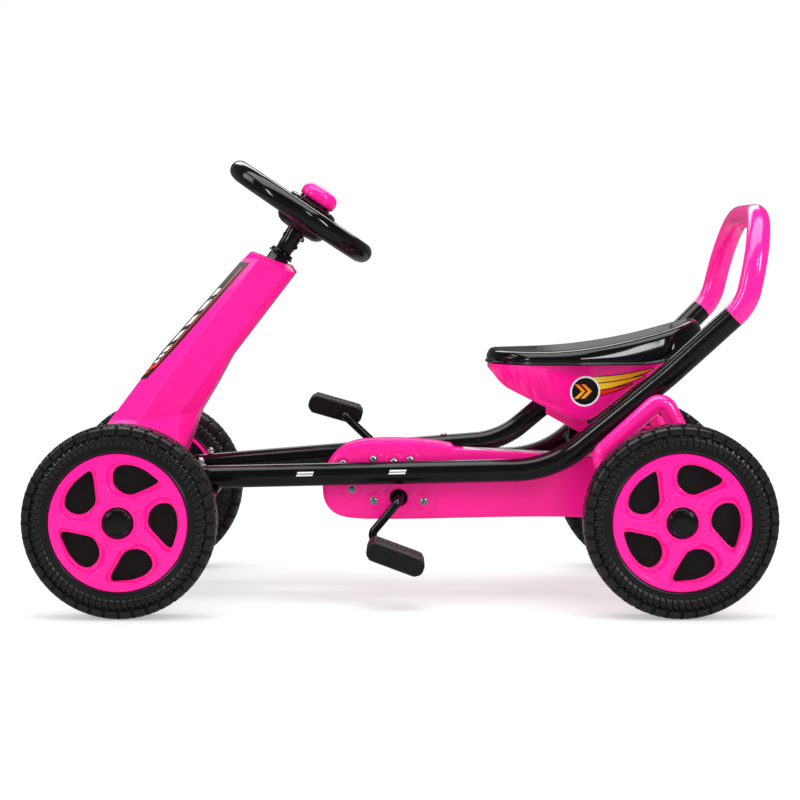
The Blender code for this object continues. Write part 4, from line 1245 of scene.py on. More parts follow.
def rubber_material() -> bpy.types.Material:
    """Tyre rubber whose raised ribs and lugs are a little greyer and smoother than its grooves: the
    greyer tops are a painted highlight and the darker grooves painted shade.

    Returns:
        The material.
    """

    def paint(tree: Tree, colour: Socket, rough: Socket) -> tuple[Socket, Socket]:
        """Greys what stands proud of the grooves as painted highlight, leaving the grooves darker
        as painted shade, and strews fine dust specks over the raised parts.

        Args:
            tree: the material's nodes.
            colour: the finish's own colour.
            rough: the finish's own roughness.

        Returns:
            The colour and the roughness with this on them.
        """
        high = tree.above(tree.attribute("lug"), 1.1, 1.6)
        speck = tree.math("MULTIPLY", tree.above(tree.noise(900.0, 2.0), 0.62, 0.05), 0.35)
        # Painted light: raised tread lighter, grooves darker; the specks are dust.
        grey = tree.mix(high, colour, (0.0095, 0.0095, 0.0097, 1))
        dust_and_painted_relief = tree.mix(tree.math("MULTIPLY", speck, high), grey, (0.020, 0.020, 0.020, 1))
        return dust_and_painted_relief, tree.math("SUBTRACT", rough, tree.math("MULTIPLY", high, 0.06))

    return RUBBER.material(paint, "tyre_rubber_tread")


def rail_stripes(tree: Tree, colour: Socket, rough: Socket) -> tuple[Socket, Socket]:
    """Two short white double stripes with slanted ends, on the outer face of each side rail.

    Args:
        tree: the material's nodes.
        colour: the finish's own colour.
        rough: the finish's own roughness.

    Returns:
        The colour and the roughness with this on them.
    """
    x, y, z = tree.place()
    foot_x, foot_z, slope = -0.284, 0.1685, 0.02395
    middle = tree.math("ADD", foot_z - foot_x * slope, tree.math("MULTIPLY", x, slope))
    up = tree.math("SUBTRACT", z, middle)
    slant = tree.math("SUBTRACT", x, tree.math("MULTIPLY", up, 0.35))
    lines = tree.either(tree.between(up, -0.0031, -0.0009), tree.between(up, 0.0004, 0.0026))
    runs = tree.either(tree.between(slant, -0.1385, -0.1165), tree.between(slant, -0.0145, 0.0080))
    mask = tree.both(lines, runs, tree.above(tree.math("ABSOLUTE", y), 0.083))
    return tree.mix(mask, colour, (0.75, 0.75, 0.75, 1)), tree.blend(mask, rough, 0.35)


@dataclass
class TubeFrame(Assembly):
    """The bent side rails, the pink hoop that joins them, the seat tube and the cross tubes."""

    rail_radius: float = 0.0155
    rail_corners: tuple[tuple[float, float, float], ...] = (
        (-0.284, 0.070, 0.1658), (0.2045, 0.080, 0.1775), (0.3524, 0.122, 0.3052),
        (0.4359, 0.146, 0.3859),
    )
    rail_bends: tuple[float, ...] = (0.135, 0.50)
    hoop_corners: tuple[tuple[float, float, float], ...] = (
        (0.43605, 0.14604, 0.38605), (0.4511, 0.1504, 0.4006), (0.4771, 0.146, 0.5181),
        (0.4771, -0.146, 0.5181), (0.4511, -0.1504, 0.4006), (0.43605, -0.14604, 0.38605),
    )
    hoop_bends: tuple[float, ...] = (0.064, 0.097, 0.097, 0.064)
    seat_radius: float = 0.014
    seat_corners: tuple[tuple[float, float, float], ...] = (
        (-0.284, 0.0, 0.1752), (0.1394, 0.0, 0.2094), (0.2530, 0.0, 0.3048),
    )
    seat_bend: float = 0.11

    def build(self) -> None:
        """Makes the tubes, their plugs, clamps and bolts."""
        striped = BLACK_PAINT.material(rail_stripes, "black_tube_paint_striped")
        for side in Side:
            flip = np.array([1.0, side.value, 1.0])
            path = rounded_path(np.array(self.rail_corners) * flip, self.rail_bends)
            path = refined(path, 0.02)
            rail = tube(path, self.rail_radius)
            self.add("rail_" + side.tag, rail, BLACK_PAINT, "root", [side.tag + "_rail"],
                     material=striped)
            self.plug(side, path)
            self.clamp(side)
        self.add("hoop", tube(refined(rounded_path(self.hoop_corners, self.hoop_bends), 0.02),
                              self.rail_radius), PINK_PAINT, "root", ["backrest_hoop"])
        self.seat_tube()
        self.cross_tubes()

    def plug(self, side: Side, path: Points) -> None:
        """The grained plug in the front end of a rail, a low mushroom on a ribbed stem.

        Args:
            side: the rail's side.
            path: the rail's centre line.
        """
        at = axis_matrix(path[0], path[0] - path[1])
        r = self.rail_radius
        cap = lathe([(0.0, 0.0050), (0.006, 0.0049), (0.011, 0.0043), (0.0142, 0.0030),
                     (r - 0.0001, 0.0010), (r, 0.0003), (0.0, 0.0003)], 40)
        self.add("rail_plug_" + side.tag, cap.placed(at), DULL_BLACK, "root",
                 [side.tag + "_rail_plug"])

    def clamp(self, side: Side) -> None:
        """The bracket that bolts a rail's front end to the head plate, with its zinc bolt.

        Args:
            side: the rail's side.
        """
        y = side.value * 0.0703
        block = rounded_block((-0.2805, y - 0.0175, 0.1490), (-0.2560, y + 0.0175, 0.1790), 0.0025)
        self.add("rail_clamp_" + side.tag, block, BLACK_PAINT, "root")
        nut = hex_shape(0.0052, 0.0058)
        collar = lathe([(0.0, 0.0), (0.0072, 0.0), (0.0072, 0.0014), (0.0066, 0.0018),
                        (0.0, 0.0018)], 40)
        stud = lathe([(0.0, 0.0), (0.0031, 0.0), (0.0031, 0.0105), (0.0026, 0.0112),
                      (0.0, 0.0112)], 32)
        bolt = joined([shape.placed(Matrix.Translation((-0.2685, y, z))) for shape, z in (
            (nut, 0.1838), (collar, 0.1812), (stud, 0.1815))])
        self.add("rail_bolt_" + side.tag, bolt, STEEL, "root")

    def seat_tube(self) -> None:
        """The tube that carries the saddle, with a shallow joint ring and a screw on top."""
        path = refined(rounded_path(self.seat_corners, [self.seat_bend]), 0.012)
        ring = np.array([0.1082, 0.1088, 0.1094, 0.1100, 0.1106, 0.1112])
        start, bend = np.array(self.seat_corners[0]), np.array(self.seat_corners[1])
        spots = start + (bend - start) * ((ring - start[0]) / (bend[0] - start[0]))[:, None]
        path = np.vstack([path, spots])
        path = path[np.argsort(path[:, 0], kind="stable")]
        keep = np.concatenate([[True], np.linalg.norm(np.diff(path, axis=0), axis=1) > 2e-4])
        path = path[keep]
        dip = 1 - 0.035 * np.exp(-((path[:, 0] - 0.1097) / 0.0009) ** 2)
        self.add("seat_post_tube", tube(path, self.seat_radius, widths=dip), BLACK_PAINT, "root",
                 ["seat_tube"])
        slope = (bend[2] - start[2]) / (bend[0] - start[0])
        for name, x in (("seat_tube_screw", 0.0604), ("seat_tube_front_screw", -0.262)):
            z = start[2] + slope * (x - start[0]) + self.seat_radius - 0.0002
            screw = screw_shape(0.0040, 0.0028)
            self.add(name, screw.placed(axis_matrix((x, 0.0, z), (-slope, 0, 1))), STEEL, "root")
        end = axis_matrix(path[0], path[0] - path[1])
        cap = lathe([(0.0, 0.0035), (0.009, 0.0031), (0.0132, 0.0016), (0.0138, 0.0),
                     (0.0, 0.0)], 40)
        self.add("seat_tube_plug", cap.placed(end), DULL_BLACK, "root")

    def cross_tubes(self) -> None:
        """The bar under the seat tube with its post, and the bar between the rear brackets."""
        weld = lathe([(0.0, 0.0), (0.0106, 0.0), (0.0102, 0.0012), (0.0092, 0.0024),
                      (0.0, 0.0024)], 40)
        for name, x, z, half, radius, weld_y in (
                ("seat", 0.240, 0.2050, 0.0718, 0.009, 0.0718),
                ("rear", 0.350, 0.2620, 0.1265, 0.0095, 0.1268)):
            beads = [axis_matrix((x, side.value * weld_y, z), (0, -side.value, 0))
                     for side in Side]
            shape = cross_bar(x, z, half, radius) + weld.copies(beads)
            if name == "seat":
                shape = shape + rounded_block((x - 0.007, -0.007, z), (x + 0.007, 0.007, 0.2720),
                                              0.0012)
            self.add(name + "_cross_tube", shape, BLACK_PAINT, "root", [name + "_crossbar"])


@dataclass
class FrontAxle(Assembly):
    """The head plate, the front beam with its forks, and the kingpin bolts."""

    plate_top: float = 0.1495
    thickness: float = 0.005
    beam_z: float = 0.1315
    beam_half: float = 0.1365
    beam_radius: float = 0.0125
    kingpin_y: float = 0.155

    def build(self) -> None:
        """Makes the pieces under the steering cover."""
        low = self.plate_top - self.thickness
        outline = rounded_loop([(-0.395, -0.090), (-0.245, -0.090), (-0.245, 0.090),
                                (-0.395, 0.090)], (0.012, 0.012, 0.012, 0.012))
        slab = plate(outline, low, self.plate_top, 0.0009)
        self.add("front_plate", slab, BLACK_PAINT, "root", ["head_plate"])
        x = -WHEELBASE / 2
        beam = cross_bar(x, self.beam_z, self.beam_half, self.beam_radius)
        for side in Side:
            beam = beam + self.fork(side.value, x)
        self.add("front_axle_beam", beam, BLACK_PAINT, "root", ["front_beam"])
        for side in Side:
            y = side.value * self.kingpin_y
            pin = lathe([(0.0, -0.0375), (0.0036, -0.0375), (0.0042, -0.0368), (0.0042, 0.0208),
                         (0.0, 0.0208)], 32)
            head = hex_shape(0.0078, 0.0050).placed(Matrix.Translation((0, 0, 0.0208)))
            nut = hex_shape(0.0070, 0.0045).placed(Matrix.Translation((0, 0, -0.0362)))
            bolt = (pin + head + nut).placed(Matrix.Translation((x, y, self.beam_z)))
            self.add("kingpin_" + side.tag, bolt, STEEL, "root", [side.tag + "_kingpin"])
        for k, (u, v) in enumerate(((-0.380, 0.072), (-0.380, -0.072), (-0.300, 0.030),
                                    (-0.300, -0.030))):
            head = hex_shape(0.0058, 0.0040).placed(Matrix.Translation((u, v, self.plate_top)))
            self.add("plate_bolt_%d" % (k + 1), head, STEEL, "root")

    def fork(self, sign: int, x: float) -> Shape:
        """One fork end: an upright web and two arms that the kingpin goes through.

        Args:
            sign: the side's sign.
            x: the beam's place along the kart.

        Returns:
            The fork.
        """
        web, tip = 0.1345, 0.1670
        z = self.beam_z
        parts = []
        for inner, outer, low, high in ((web, 0.1405, -0.0315, 0.0205),
                                        (web, tip, -0.0315, -0.0265), (web, tip, 0.0155, 0.0205)):
            ends = sorted((sign * inner, sign * outer))
            parts.append(rounded_block((x - 0.011, ends[0], z + low),
                                       (x + 0.011, ends[1], z + high), 0.0012))
        return joined(parts)


@dataclass
class SteeringColumn(Assembly):
    """The sleeve and shaft, the flat-bottomed wheel, its boss, and the horn."""

    tilt: float = 34.0
    boss: tuple[float, float, float] = (-0.1278, 0.0, 0.5189)
    wheel_radius: float = 0.1045
    shift: float = -0.0065
    flat: float = 0.0907
    rim: float = 0.0134
    grip_swell: float = 0.05

    def build(self) -> None:
        """Makes the pieces on the column's axis."""
        axis = (Matrix.Translation(Vector(self.boss))
                @ Matrix.Rotation(math.radians(self.tilt), 4, "Y"))
        bush = lathe([(0.0122, -0.0660), (0.0174, -0.0660), (0.0181, -0.0654), (0.0179, -0.0644),
                      (0.0166, -0.0638), (0.0161, -0.0600), (0.0154, -0.0590), (0.0122, -0.0590)],
                     64)
        self.add("column_top_bush", bush.placed(axis), BLACK_PLASTIC, "root", ["column_bush"])
        shaft = lathe([(0.0, -0.4245), (0.0110, -0.4245), (0.0115, -0.4240), (0.0115, -0.0520),
                       (0.0120, -0.0512), (0.0120, -0.0350), (0.0132, -0.0342), (0.0132, -0.0262),
                       (0.0, -0.0262)], 56)
        bolts = []
        for angle, level, length in ((-160.0, -0.0377, 0.0022), (-25.0, -0.0316, 0.0060),
                                     (-35.0, -0.0450, 0.0050)):
            turn = Matrix.Rotation(math.radians(angle), 4, "Z")
            at = turn @ axis_matrix((0.0112, 0, level), (1, 0, 0))
            bolts.append(hex_shape(0.0031, length).placed(at))
        self.add("column_shaft", (shaft + joined(bolts)).placed(axis), BLACK_PAINT, "steering",
                 ["steering_shaft"])
        self.add("wheel_rim_and_spokes", self.wheel().placed(axis), BLACK_PLASTIC, "steering",
                 ["steering_wheel"], sharp=45.0)
        bowl = lathe([(0.0, -0.0262), (0.0150, -0.0262), (0.0170, -0.0260), (0.0250, -0.0254),
                      (0.0315, -0.0226), (0.0356, -0.0180), (0.0374, -0.0125), (0.0370, -0.0070),
                      (0.0345, -0.0044), (0.0, -0.0044)], 80)
        self.add("wheel_bowl", bowl.placed(axis), BLACK_PLASTIC, "steering", ["wheel_boss"],
                 sharp=50.0)
        base = lathe([(0.0, 0.0044), (0.0340, 0.0044), (0.0352, 0.0052), (0.0357, 0.0080),
                      (0.0357, 0.0140), (0.0351, 0.0166), (0.0335, 0.0178), (0.0312, 0.0184),
                      (0.0300, 0.0190), (0.0288, 0.0195), (0.0270, 0.0194), (0.0262, 0.0184),
                      (0.0230, 0.0180), (0.0229, 0.0250), (0.0222, 0.0256), (0.0, 0.0256)], 80)
        self.add("horn_housing", base.placed(axis), BLACK_PLASTIC, "steering", ["horn_base"])
        dome = lathe([(0.0, 0.0300), (0.0233, 0.0300), (0.0235, 0.0226), (0.0244, 0.0226),
                      (0.0254, 0.0240), (0.0260, 0.0270),
                      (0.0262, 0.0300), (0.0257, 0.0340), (0.0243, 0.0375), (0.0215, 0.0404),
                      (0.0170, 0.0424), (0.0110, 0.0434), (0.0050, 0.0437), (0.0, 0.0437)], 72)
        self.add("horn_dome", dome.placed(axis), PINK_PLASTIC, "horn", ["horn_button"], sharp=55.0)

    def wheel(self) -> Shape:
        """The rim as a flat-sided ring with thumb swells and a moulding seam, and three spokes.

        Returns:
            The wheel, flat on its own XY plane.
        """
        flat_angle = math.acos((self.flat - self.shift) / self.wheel_radius)
        angle = np.linspace(flat_angle, 2 * np.pi - flat_angle, 100)
        arc = self.wheel_radius * np.column_stack([np.cos(angle), np.sin(angle)])
        arc = arc + [self.shift, 0.0]
        reach = self.wheel_radius * math.sin(flat_angle)
        chord = np.column_stack([np.full(21, self.flat), np.linspace(-reach, reach, 23)[1:-1]])
        ring = np.vstack([arc, chord])
        kernel = np.array([1, 3, 5, 6, 5, 3, 1]) / 24
        for _ in range(3):
            padded = np.vstack([ring[-3:], ring, ring[:3]])
            ring = np.column_stack([np.convolve(padded[:, k], kernel, "valid") for k in (0, 1)])
        ring = np.column_stack([ring, np.zeros(len(ring))])
        around = np.arctan2(ring[:, 1], ring[:, 0])
        grips = np.abs(np.abs(around) - math.radians(100))
        swell = 1 + self.grip_swell * (1 - smoothstep(0.50, 0.56, grips))
        rim = tube(ring, self.rim, 44, closed=True, widths=swell)
        seam = tube(ring + [0, 0, -self.rim], 0.0007, 8, closed=True)
        hub = lathe([(0.0, -0.0043), (0.0335, -0.0043), (0.0345, -0.0030), (0.0345, 0.0030),
                     (0.0335, 0.0043), (0.0, 0.0043)], 72)
        shape = rim + seam + hub
        for degrees, length in ((90, self.wheel_radius), (-90, self.wheel_radius), (0, self.flat)):
            half = np.array([(0.020, 0.021), (0.034, 0.0165), (0.055, 0.0125),
                             (length - 0.012, 0.0145), (length, 0.020)])
            smooth = resampled(np.vstack([half, half[::-1] * [1, -1]]), 60)
            spoke = plate(smooth, -0.0042, 0.0042, 0.0024)
            shape = shape + spoke.placed(Matrix.Rotation(math.radians(degrees), 4, "Z"))
        return shape


FAIRING_RINGS = (
    ((-0.2030, 0.020, 0.4700), (-0.1930, 0.034, 0.4655), (-0.1570, 0.034, 0.4530),
     (-0.1490, 0.020, 0.4510)),
    ((-0.2120, 0.028, 0.4610), (-0.1910, 0.045, 0.4590), (-0.1540, 0.045, 0.4443),
     (-0.1430, 0.030, 0.4411)),
    ((-0.3235, 0.032, 0.3343), (-0.2765, 0.050, 0.3505), (-0.2375, 0.050, 0.3353),
     (-0.2315, 0.034, 0.3263)),
    ((-0.3590, 0.034, 0.2892), (-0.3170, 0.054, 0.2974), (-0.2645, 0.054, 0.2965),
     (-0.2528, 0.036, 0.2870)),
    ((-0.3945, 0.036, 0.2420), (-0.3530, 0.058, 0.2410), (-0.3005, 0.058, 0.2490),
     (-0.2750, 0.038, 0.2500)),
    ((-0.4300, 0.050, 0.1930), (-0.4020, 0.082, 0.1930), (-0.3000, 0.082, 0.1930),
     (-0.2960, 0.050, 0.1930)),
)


@dataclass
class SteeringCover(Assembly):
    """The faceted pink cover over the column, with the printed strip on its front."""

    wall: float = 0.003
    film: float = 0.00018
    weave: int = 6
    strip_ends: tuple[float, float] = (0.045, 1.86)

    def build(self) -> None:
        """Makes the cover and its strip."""
        half = np.array(FAIRING_RINGS)
        outer = np.concatenate([half, half[:, ::-1] * [1, -1, 1]], axis=1)
        middle = outer.mean(axis=1, keepdims=True)
        inner = outer + np.sign(middle - outer) * [self.wall, self.wall, 0.0]
        inner[0, :, 2] -= 2 * self.wall
        rings = np.vstack([outer, inner[::-1]])
        cover = self.add("steering_cover", grid(self.woven(rings), caps=True), PINK_PLASTIC, "root",
                         ["fairing"], sharp=60.0)
        soften(cover, "moulded_edge", 0.0024, 4, 9.0)
        self.strip(half)

    def woven(self, rings: Points) -> Points:
        """The rings with more between them, and more points along each of their sides.

        Between four corners a point is their bilinear mix: straight lines both ways.

        Args:
            rings: array of shape (rings, corners, 3).

        Returns:
            The finer rings, in the same form.
        """
        down = np.linspace(0, len(rings) - 1, (len(rings) - 1) * self.weave + 1)
        low = np.minimum(down.astype(int), len(rings) - 2)
        rows = rings[low] + (rings[low + 1] - rings[low]) * (down - low)[:, None, None]
        count = rings.shape[1]
        along = np.arange(count * self.weave) / self.weave
        left = along.astype(int)
        part = (along - left)[None, :, None]
        return rows[:, left] + (rows[:, (left + 1) % count] - rows[:, left]) * part

    def strip(self, half: Points) -> None:
        """The film on the front: it spans the front face and part of each slanted panel.

        At t rings down the cover and c across it, from -1 to 1, the inner half of c runs over the
        front face, and the outer half over a share of the slanted panel, all bilinear.

        Args:
            half: the cover's rings, two outer and two front corners each.
        """
        down = np.unique(np.concatenate([np.linspace(*self.strip_ends, 41), [1.0]]))[:, None]
        low = np.minimum(down.astype(int), 1)[:, 0]
        part = (down - low[:, None])[:, :, None]
        front, slant = (half[1:4, k][low][:, None] * (1 - part)
                        + half[1:4, k][low + 1][:, None] * part for k in (0, 1))
        shares = np.interp(down, [0, 1, 2], [0.58, 0.42, 0.20])
        across = np.linspace(-1, 1, 41)
        wide = np.abs(across)[None, :, None]
        flip = np.stack([np.ones(41), np.where(across < 0, 1, -1), np.ones(41)], axis=1)[None]
        flat = front * [1, 0, 1] + (front * [0, 1, 0]) * np.minimum(wide * 2, 1)
        rows = flat + (slant - front) * np.maximum(wide * 2 - 1, 0) * shares[:, :, None]
        rows = rows * flip
        down_step, side_step = np.gradient(rows, axis=0), np.gradient(rows, axis=1)
        normal = unit(np.cross(side_step, down_step))
        normal = normal * np.where((normal[..., :1] > 0), -1, 1)
        top, under = rows + normal * self.film * 4, rows - normal * 0.0006
        tops, lows = grid(top, wrap_columns=False), grid(under[:, ::-1], wrap_columns=False)
        count = top.shape[0] * top.shape[1]
        index = np.arange(count).reshape(top.shape[:2])
        loop = np.concatenate([index[0], index[1:, -1], index[-1, -2::-1], index[-2:0:-1, 0]])
        below = count + index[:, ::-1]
        low_loop = np.concatenate([below[0], below[1:, -1], below[-1, -2::-1], below[-2:0:-1, 0]])
        rim = np.stack([loop, np.roll(loop, -1), np.roll(low_loop, -1), low_loop], axis=-1)
        shape = tops + lows
        shape.faces.append(rim)
        side = np.tile(across, (len(down), 1))
        along = np.tile((down - down[0]) / (down[-1] - down[0]), (1, len(across)))
        marks = {"across": np.concatenate([side.ravel(), side[:, ::-1].ravel()]),
                 "along": np.concatenate([along.ravel(), along[:, ::-1].ravel()])}
        self.add("cover_strip", shape, FILM, "root", marks=marks, weld=0.0, sharp=30.0,
                 material=FILM.material(strip_print, "cover_film"))


FILM = Finish("printed_film", "black_plastic", (0.012, 0.012, 0.014), 0.22, 0.05, 0.05, 500, 0.03)


def strip_print(tree: Tree, colour: Socket, rough: Socket) -> tuple[Socket, Socket]:
    """A dark film with thin red-orange border lines, white dashes and a red chevron at its foot.

    Args:
        tree: the material's nodes.
        colour: the finish's own colour.
        rough: the finish's own roughness.

    Returns:
        The colour and the roughness with this on them.
    """
    across, along = tree.attribute("across"), tree.attribute("along")
    wide = tree.math("ABSOLUTE", across)
    line = tree.both(tree.between(wide, 0.79, 0.85, 0.02), tree.between(along, 0.03, 0.80, 0.01))
    beat = tree.math("FRACT", tree.math("ADD", tree.math("MULTIPLY", along, 11.0), wide))
    dash = tree.both(tree.between(wide, 0.57, 0.72, 0.02), tree.between(beat, 0.18, 0.82, 0.04),
                     tree.between(along, 0.16, 0.74, 0.01))
    point = tree.math("ADD", along, tree.math("MULTIPLY", wide, 0.09))
    patch = tree.both(tree.between(point, 0.82, 0.90, 0.01), tree.between(wide, -1.0, 0.86, 0.02))
    second = tree.both(tree.between(point, 0.925, 0.965, 0.01), tree.between(wide, -1.0, 0.7, 0.02))
    ink = tree.mix(dash, colour, (0.80, 0.80, 0.80, 1))
    ink = tree.mix(line, ink, (0.55, 0.055, 0.018, 1))
    ink = tree.mix(tree.either(patch, second), ink, (0.72, 0.030, 0.012, 1))
    return ink, rough


def guard_print(tree: Tree, colour: Socket, rough: Socket) -> tuple[Socket, Socket]:
    """A silver-white film with slanted grey and pale pink bands.

    Args:
        tree: the material's nodes.
        colour: the finish's own colour.
        rough: the finish's own roughness.

    Returns:
        The colour and the roughness with this on them.
    """
    across, along = tree.attribute("across"), tree.attribute("along")
    lean = tree.math("ADD", along, tree.math("MULTIPLY", across, 0.06))
    grey = tree.between(tree.math("FRACT", tree.math("MULTIPLY", lean, 5.0)), 0.62, 0.88, 0.03)
    rose = tree.between(tree.math("FRACT", tree.math("ADD", tree.math("MULTIPLY", lean, 5.0), 0.3)),
                        0.80, 1.0, 0.03)
    line = tree.between(tree.math("ABSOLUTE", across), 0.80, 0.88, 0.02)
    ink = tree.mix(grey, colour, (0.34, 0.33, 0.34, 1))
    ink = tree.mix(rose, ink, (0.80, 0.42, 0.60, 1))
    return tree.mix(line, ink, (0.20, 0.19, 0.20, 1)), rough


@dataclass
class ChainGuard(Assembly):
    """The two pink halves of the chain guard, what is fixed to them, and the printed top strip."""

    half: float = 0.020
    wall: float = 0.0022
    screw_turn: float = 800.0
    screws: tuple[tuple[float, float], ...] = (
        (-0.0364, 0.1885), (0.0139, 0.1878), (-0.0083, 0.1851), (-0.0773, 0.1830),
        (-0.0654, 0.1476), (-0.0358, 0.1321), (0.0328, 0.1314),
    )
    swells: tuple[tuple[float, float, float], ...] = (
        (-0.0364, 0.1810, 0.0185), (0.0230, 0.1800, 0.0190), (-0.0083, 0.1780, 0.0130),
        (-0.0730, 0.1780, 0.0140), (-0.0640, 0.1470, 0.0140), (-0.0358, 0.1345, 0.0145),
        (-0.0019, 0.1361, 0.0225), (0.0320, 0.1310, 0.0190), (-0.0020, 0.1600, 0.0400),
        (-0.0400, 0.1600, 0.0300),
    )

    def build(self) -> None:
        """Makes both halves and what is fixed to them."""
        for side in Side:
            name = "guard_half_" + side.tag
            self.add(name, self.shell(side.value), PINK_PLASTIC, "root",
                     [side.tag + "_chain_guard"], sharp=50.0)
            outer = CHAIN_Y + side.value * self.half
            self.fixings(side, outer)
        self.top_strip()

    def outline(self) -> Points:
        """The guard's side outline as a smooth closed curve of (x, z) through its spots.

        Returns:
            The curve's points.
        """
        rear_x, rear_z = WHEELBASE / 2, HUB_HEIGHT
        lobe = np.radians(np.linspace(55, -125, 7))
        spots = np.vstack([
            [(-0.0830, 0.1120), (-0.0955, 0.1205), (-0.1030, 0.1330), (-0.1055, 0.1480),
             (-0.1045, 0.1640), (-0.0995, 0.1810), (-0.0890, 0.1960), (-0.0740, 0.2075),
             (-0.0540, 0.2140), (-0.0250, 0.2160), (0.0070, 0.2158), (0.0390, 0.2137),
             (0.0640, 0.2098), (0.0705, 0.2076), (0.0745, 0.2040), (0.0790, 0.2027),
             (0.0870, 0.2022), (0.1300, 0.2002), (0.1772, 0.1975), (0.2250, 0.1950),
             (0.2650, 0.1915), (0.3050, 0.1840), (0.3400, 0.1690)],
            np.column_stack([rear_x + 0.034 * np.cos(lobe), rear_z + 0.034 * np.sin(lobe)]),
            [(0.3150, 0.1040), (0.2800, 0.1082), (0.2400, 0.1094), (0.1776, 0.1098),
             (0.1000, 0.1086), (0.0300, 0.1070), (-0.0300, 0.1066), (-0.0620, 0.1077)],
        ])
        return catmull_rom(spots, 6)

    def shell(self, sign: int) -> Shape:
        """One half: seam lip, side wall, rounded rim, flat face with a round hole, and the inside.

        The rim's radius is larger on the raised front than on the tail. The two flat faces are
        cut into triangles between the outline and the hole.

        Args:
            sign: the side's sign.

        Returns:
            The half guard.
        """
        edge = self.outline()
        seam, outer = CHAIN_Y + sign * 0.0003, CHAIN_Y + sign * self.half
        x, z = edge.T
        crown = (1 - smoothstep(0.055, 0.085, x)) * smoothstep(0.115, 0.160, z)
        radius = 0.0030 + 0.0068 * crown
        rim = [(edge, seam), (edge, seam + sign * 0.0006)]
        for a in np.linspace(0, np.pi / 2, 8):
            inset = outline_inset(edge, (radius * (1 - np.cos(a)))[:, None])
            rim.append((inset, outer - sign * radius * (1 - np.sin(a))))
        rim.append((outline_inset(edge, (radius * 1.25)[:, None]), outer))
        turn = np.arange(64) * 2 * np.pi / 64
        circle = np.column_stack([np.cos(turn), np.sin(turn)])
        centre = np.array([CRANK_AXIS[0], CRANK_AXIS[2]])
        hole = [(centre + circle * r, outer + sign * lift) for r, lift in (
            (0.0206, 0.0), (0.0200, 0.0), (0.0196, 0.0005), (0.0186, 0.0005), (0.0182, 0.0),
            (0.0140, 0.0), (0.0128, 0.0), (0.0120, -0.0006), (0.0117, -0.0015),
            (0.0117, -self.wall))]
        inside = outline_inset(edge, self.wall)
        lining = [(inside, outer - sign * self.wall), (inside, seam), (edge, seam)]

        def spread(rows: list[tuple[Points, Points]]) -> Points:
            """Rings of (x, z) outline and Y as rings of points."""
            return np.array([np.column_stack([p[:, 0], np.broadcast_to(y, len(p)), p[:, 1]])
                             for p, y in rows])

        shape = grid(spread(rim)) + grid(spread(hole)) + grid(spread(lining))
        return (shape + flat_face(spread(rim)[-1], spread(hole)[0])
                + flat_face(spread(lining)[0], spread(hole)[-1]))

    def fixings(self, side: Side, outer: float) -> None:
        """The screws on their round pads, the crank's seal ring and the axle's flange.

        Args:
            side: which half.
            outer: Y of the half's flat face.
        """
        sign = side.value
        pads, heads = [], []
        pad = lathe([(0.0, -0.0008), (0.0126, -0.0008), (0.0124, 0.0001), (0.0118, 0.0005),
                     (0.0072, 0.0005), (0.0068, 0.0001), (0.0, 0.0001)], 48)
        head = screw_shape(0.0043, 0.0026)
        for x, z in self.screws:
            at = axis_matrix((x, outer, z), (0, sign, 0))
            pads.append(pad.placed(at))
            lift = axis_matrix((x, outer + sign * 0.0001, z), (0, sign, 0))
            heads.append(head.placed(lift @ Matrix.Rotation(self.screw_turn * x, 4, "Z")))
        self.add("guard_pads_" + side.tag, joined(pads), PINK_PLASTIC, "root")
        self.add("guard_ridges_" + side.tag, self.ridges(outer), PINK_PLASTIC, "root")
        self.add("guard_screws_" + side.tag, joined(heads), STEEL, "root")
        seal = lathe([(0.0075, -0.0068), (0.0113, -0.0068), (0.0115, -0.0060), (0.0115, -0.0016),
                      (0.0108, -0.0008), (0.0098, -0.0020), (0.0090, -0.0052), (0.0075, -0.0058)],
                     48)
        seat = axis_matrix((CRANK_AXIS[0], outer, CRANK_AXIS[2]), (0, sign, 0))
        self.add("crank_seal_" + side.tag, seal.placed(seat), DULL_BLACK, "root")
        flange = lathe([(0.0068, -0.001), (0.0130, -0.001), (0.0128, 0.0012), (0.0120, 0.0018),
                        (0.0075, 0.0018), (0.0068, 0.0010)], 48)
        self.add("guard_axle_flange_" + side.tag,
                 flange.placed(axis_matrix((WHEELBASE / 2, outer, HUB_HEIGHT), (0, sign, 0))),
                 DULL_BLACK, "root")

    def ridges(self, outer: float) -> Shape:
        """Fine raised lines round the pads: the outer boundary of a union of circles.

        A point of one circle stays where it is further from every other centre than that circle's
        radius. Each run of points that stay becomes a thin bar, half sunk into the face.

        Args:
            outer: Y of the half's flat face.

        Returns:
            The bars.
        """
        turn = np.linspace(0, 2 * np.pi, 121)[:-1]
        swells = np.array(self.swells)
        middles, sizes = swells[:, :2], swells[:, 2]
        bars = []
        for k, (middle, size) in enumerate(zip(middles, sizes)):
            spots = middle + size * np.column_stack([np.cos(turn), np.sin(turn)])
            away = np.linalg.norm(spots[:, None] - middles[None], axis=2) - sizes[None]
            away[:, k] = 1.0
            stays = away.min(axis=1) > 0.0
            first = int(np.argmin(stays))
            spots, stays = np.roll(spots, -first, axis=0), np.roll(stays, -first)
            steps = np.flatnonzero(np.diff(np.concatenate([[0], stays.astype(int), [0]])))
            if stays.all():
                steps = np.array([0, len(spots)])
            for start, end in zip(steps[::2], steps[1::2]):
                if end - start < 4:
                    continue
                run = spots[start:end]
                path = np.column_stack([run[:, 0], np.full(len(run), outer), run[:, 1]])
                bars.append(tube(path, 0.00055, 8, closed=bool(stays.all())))
        return joined(bars)

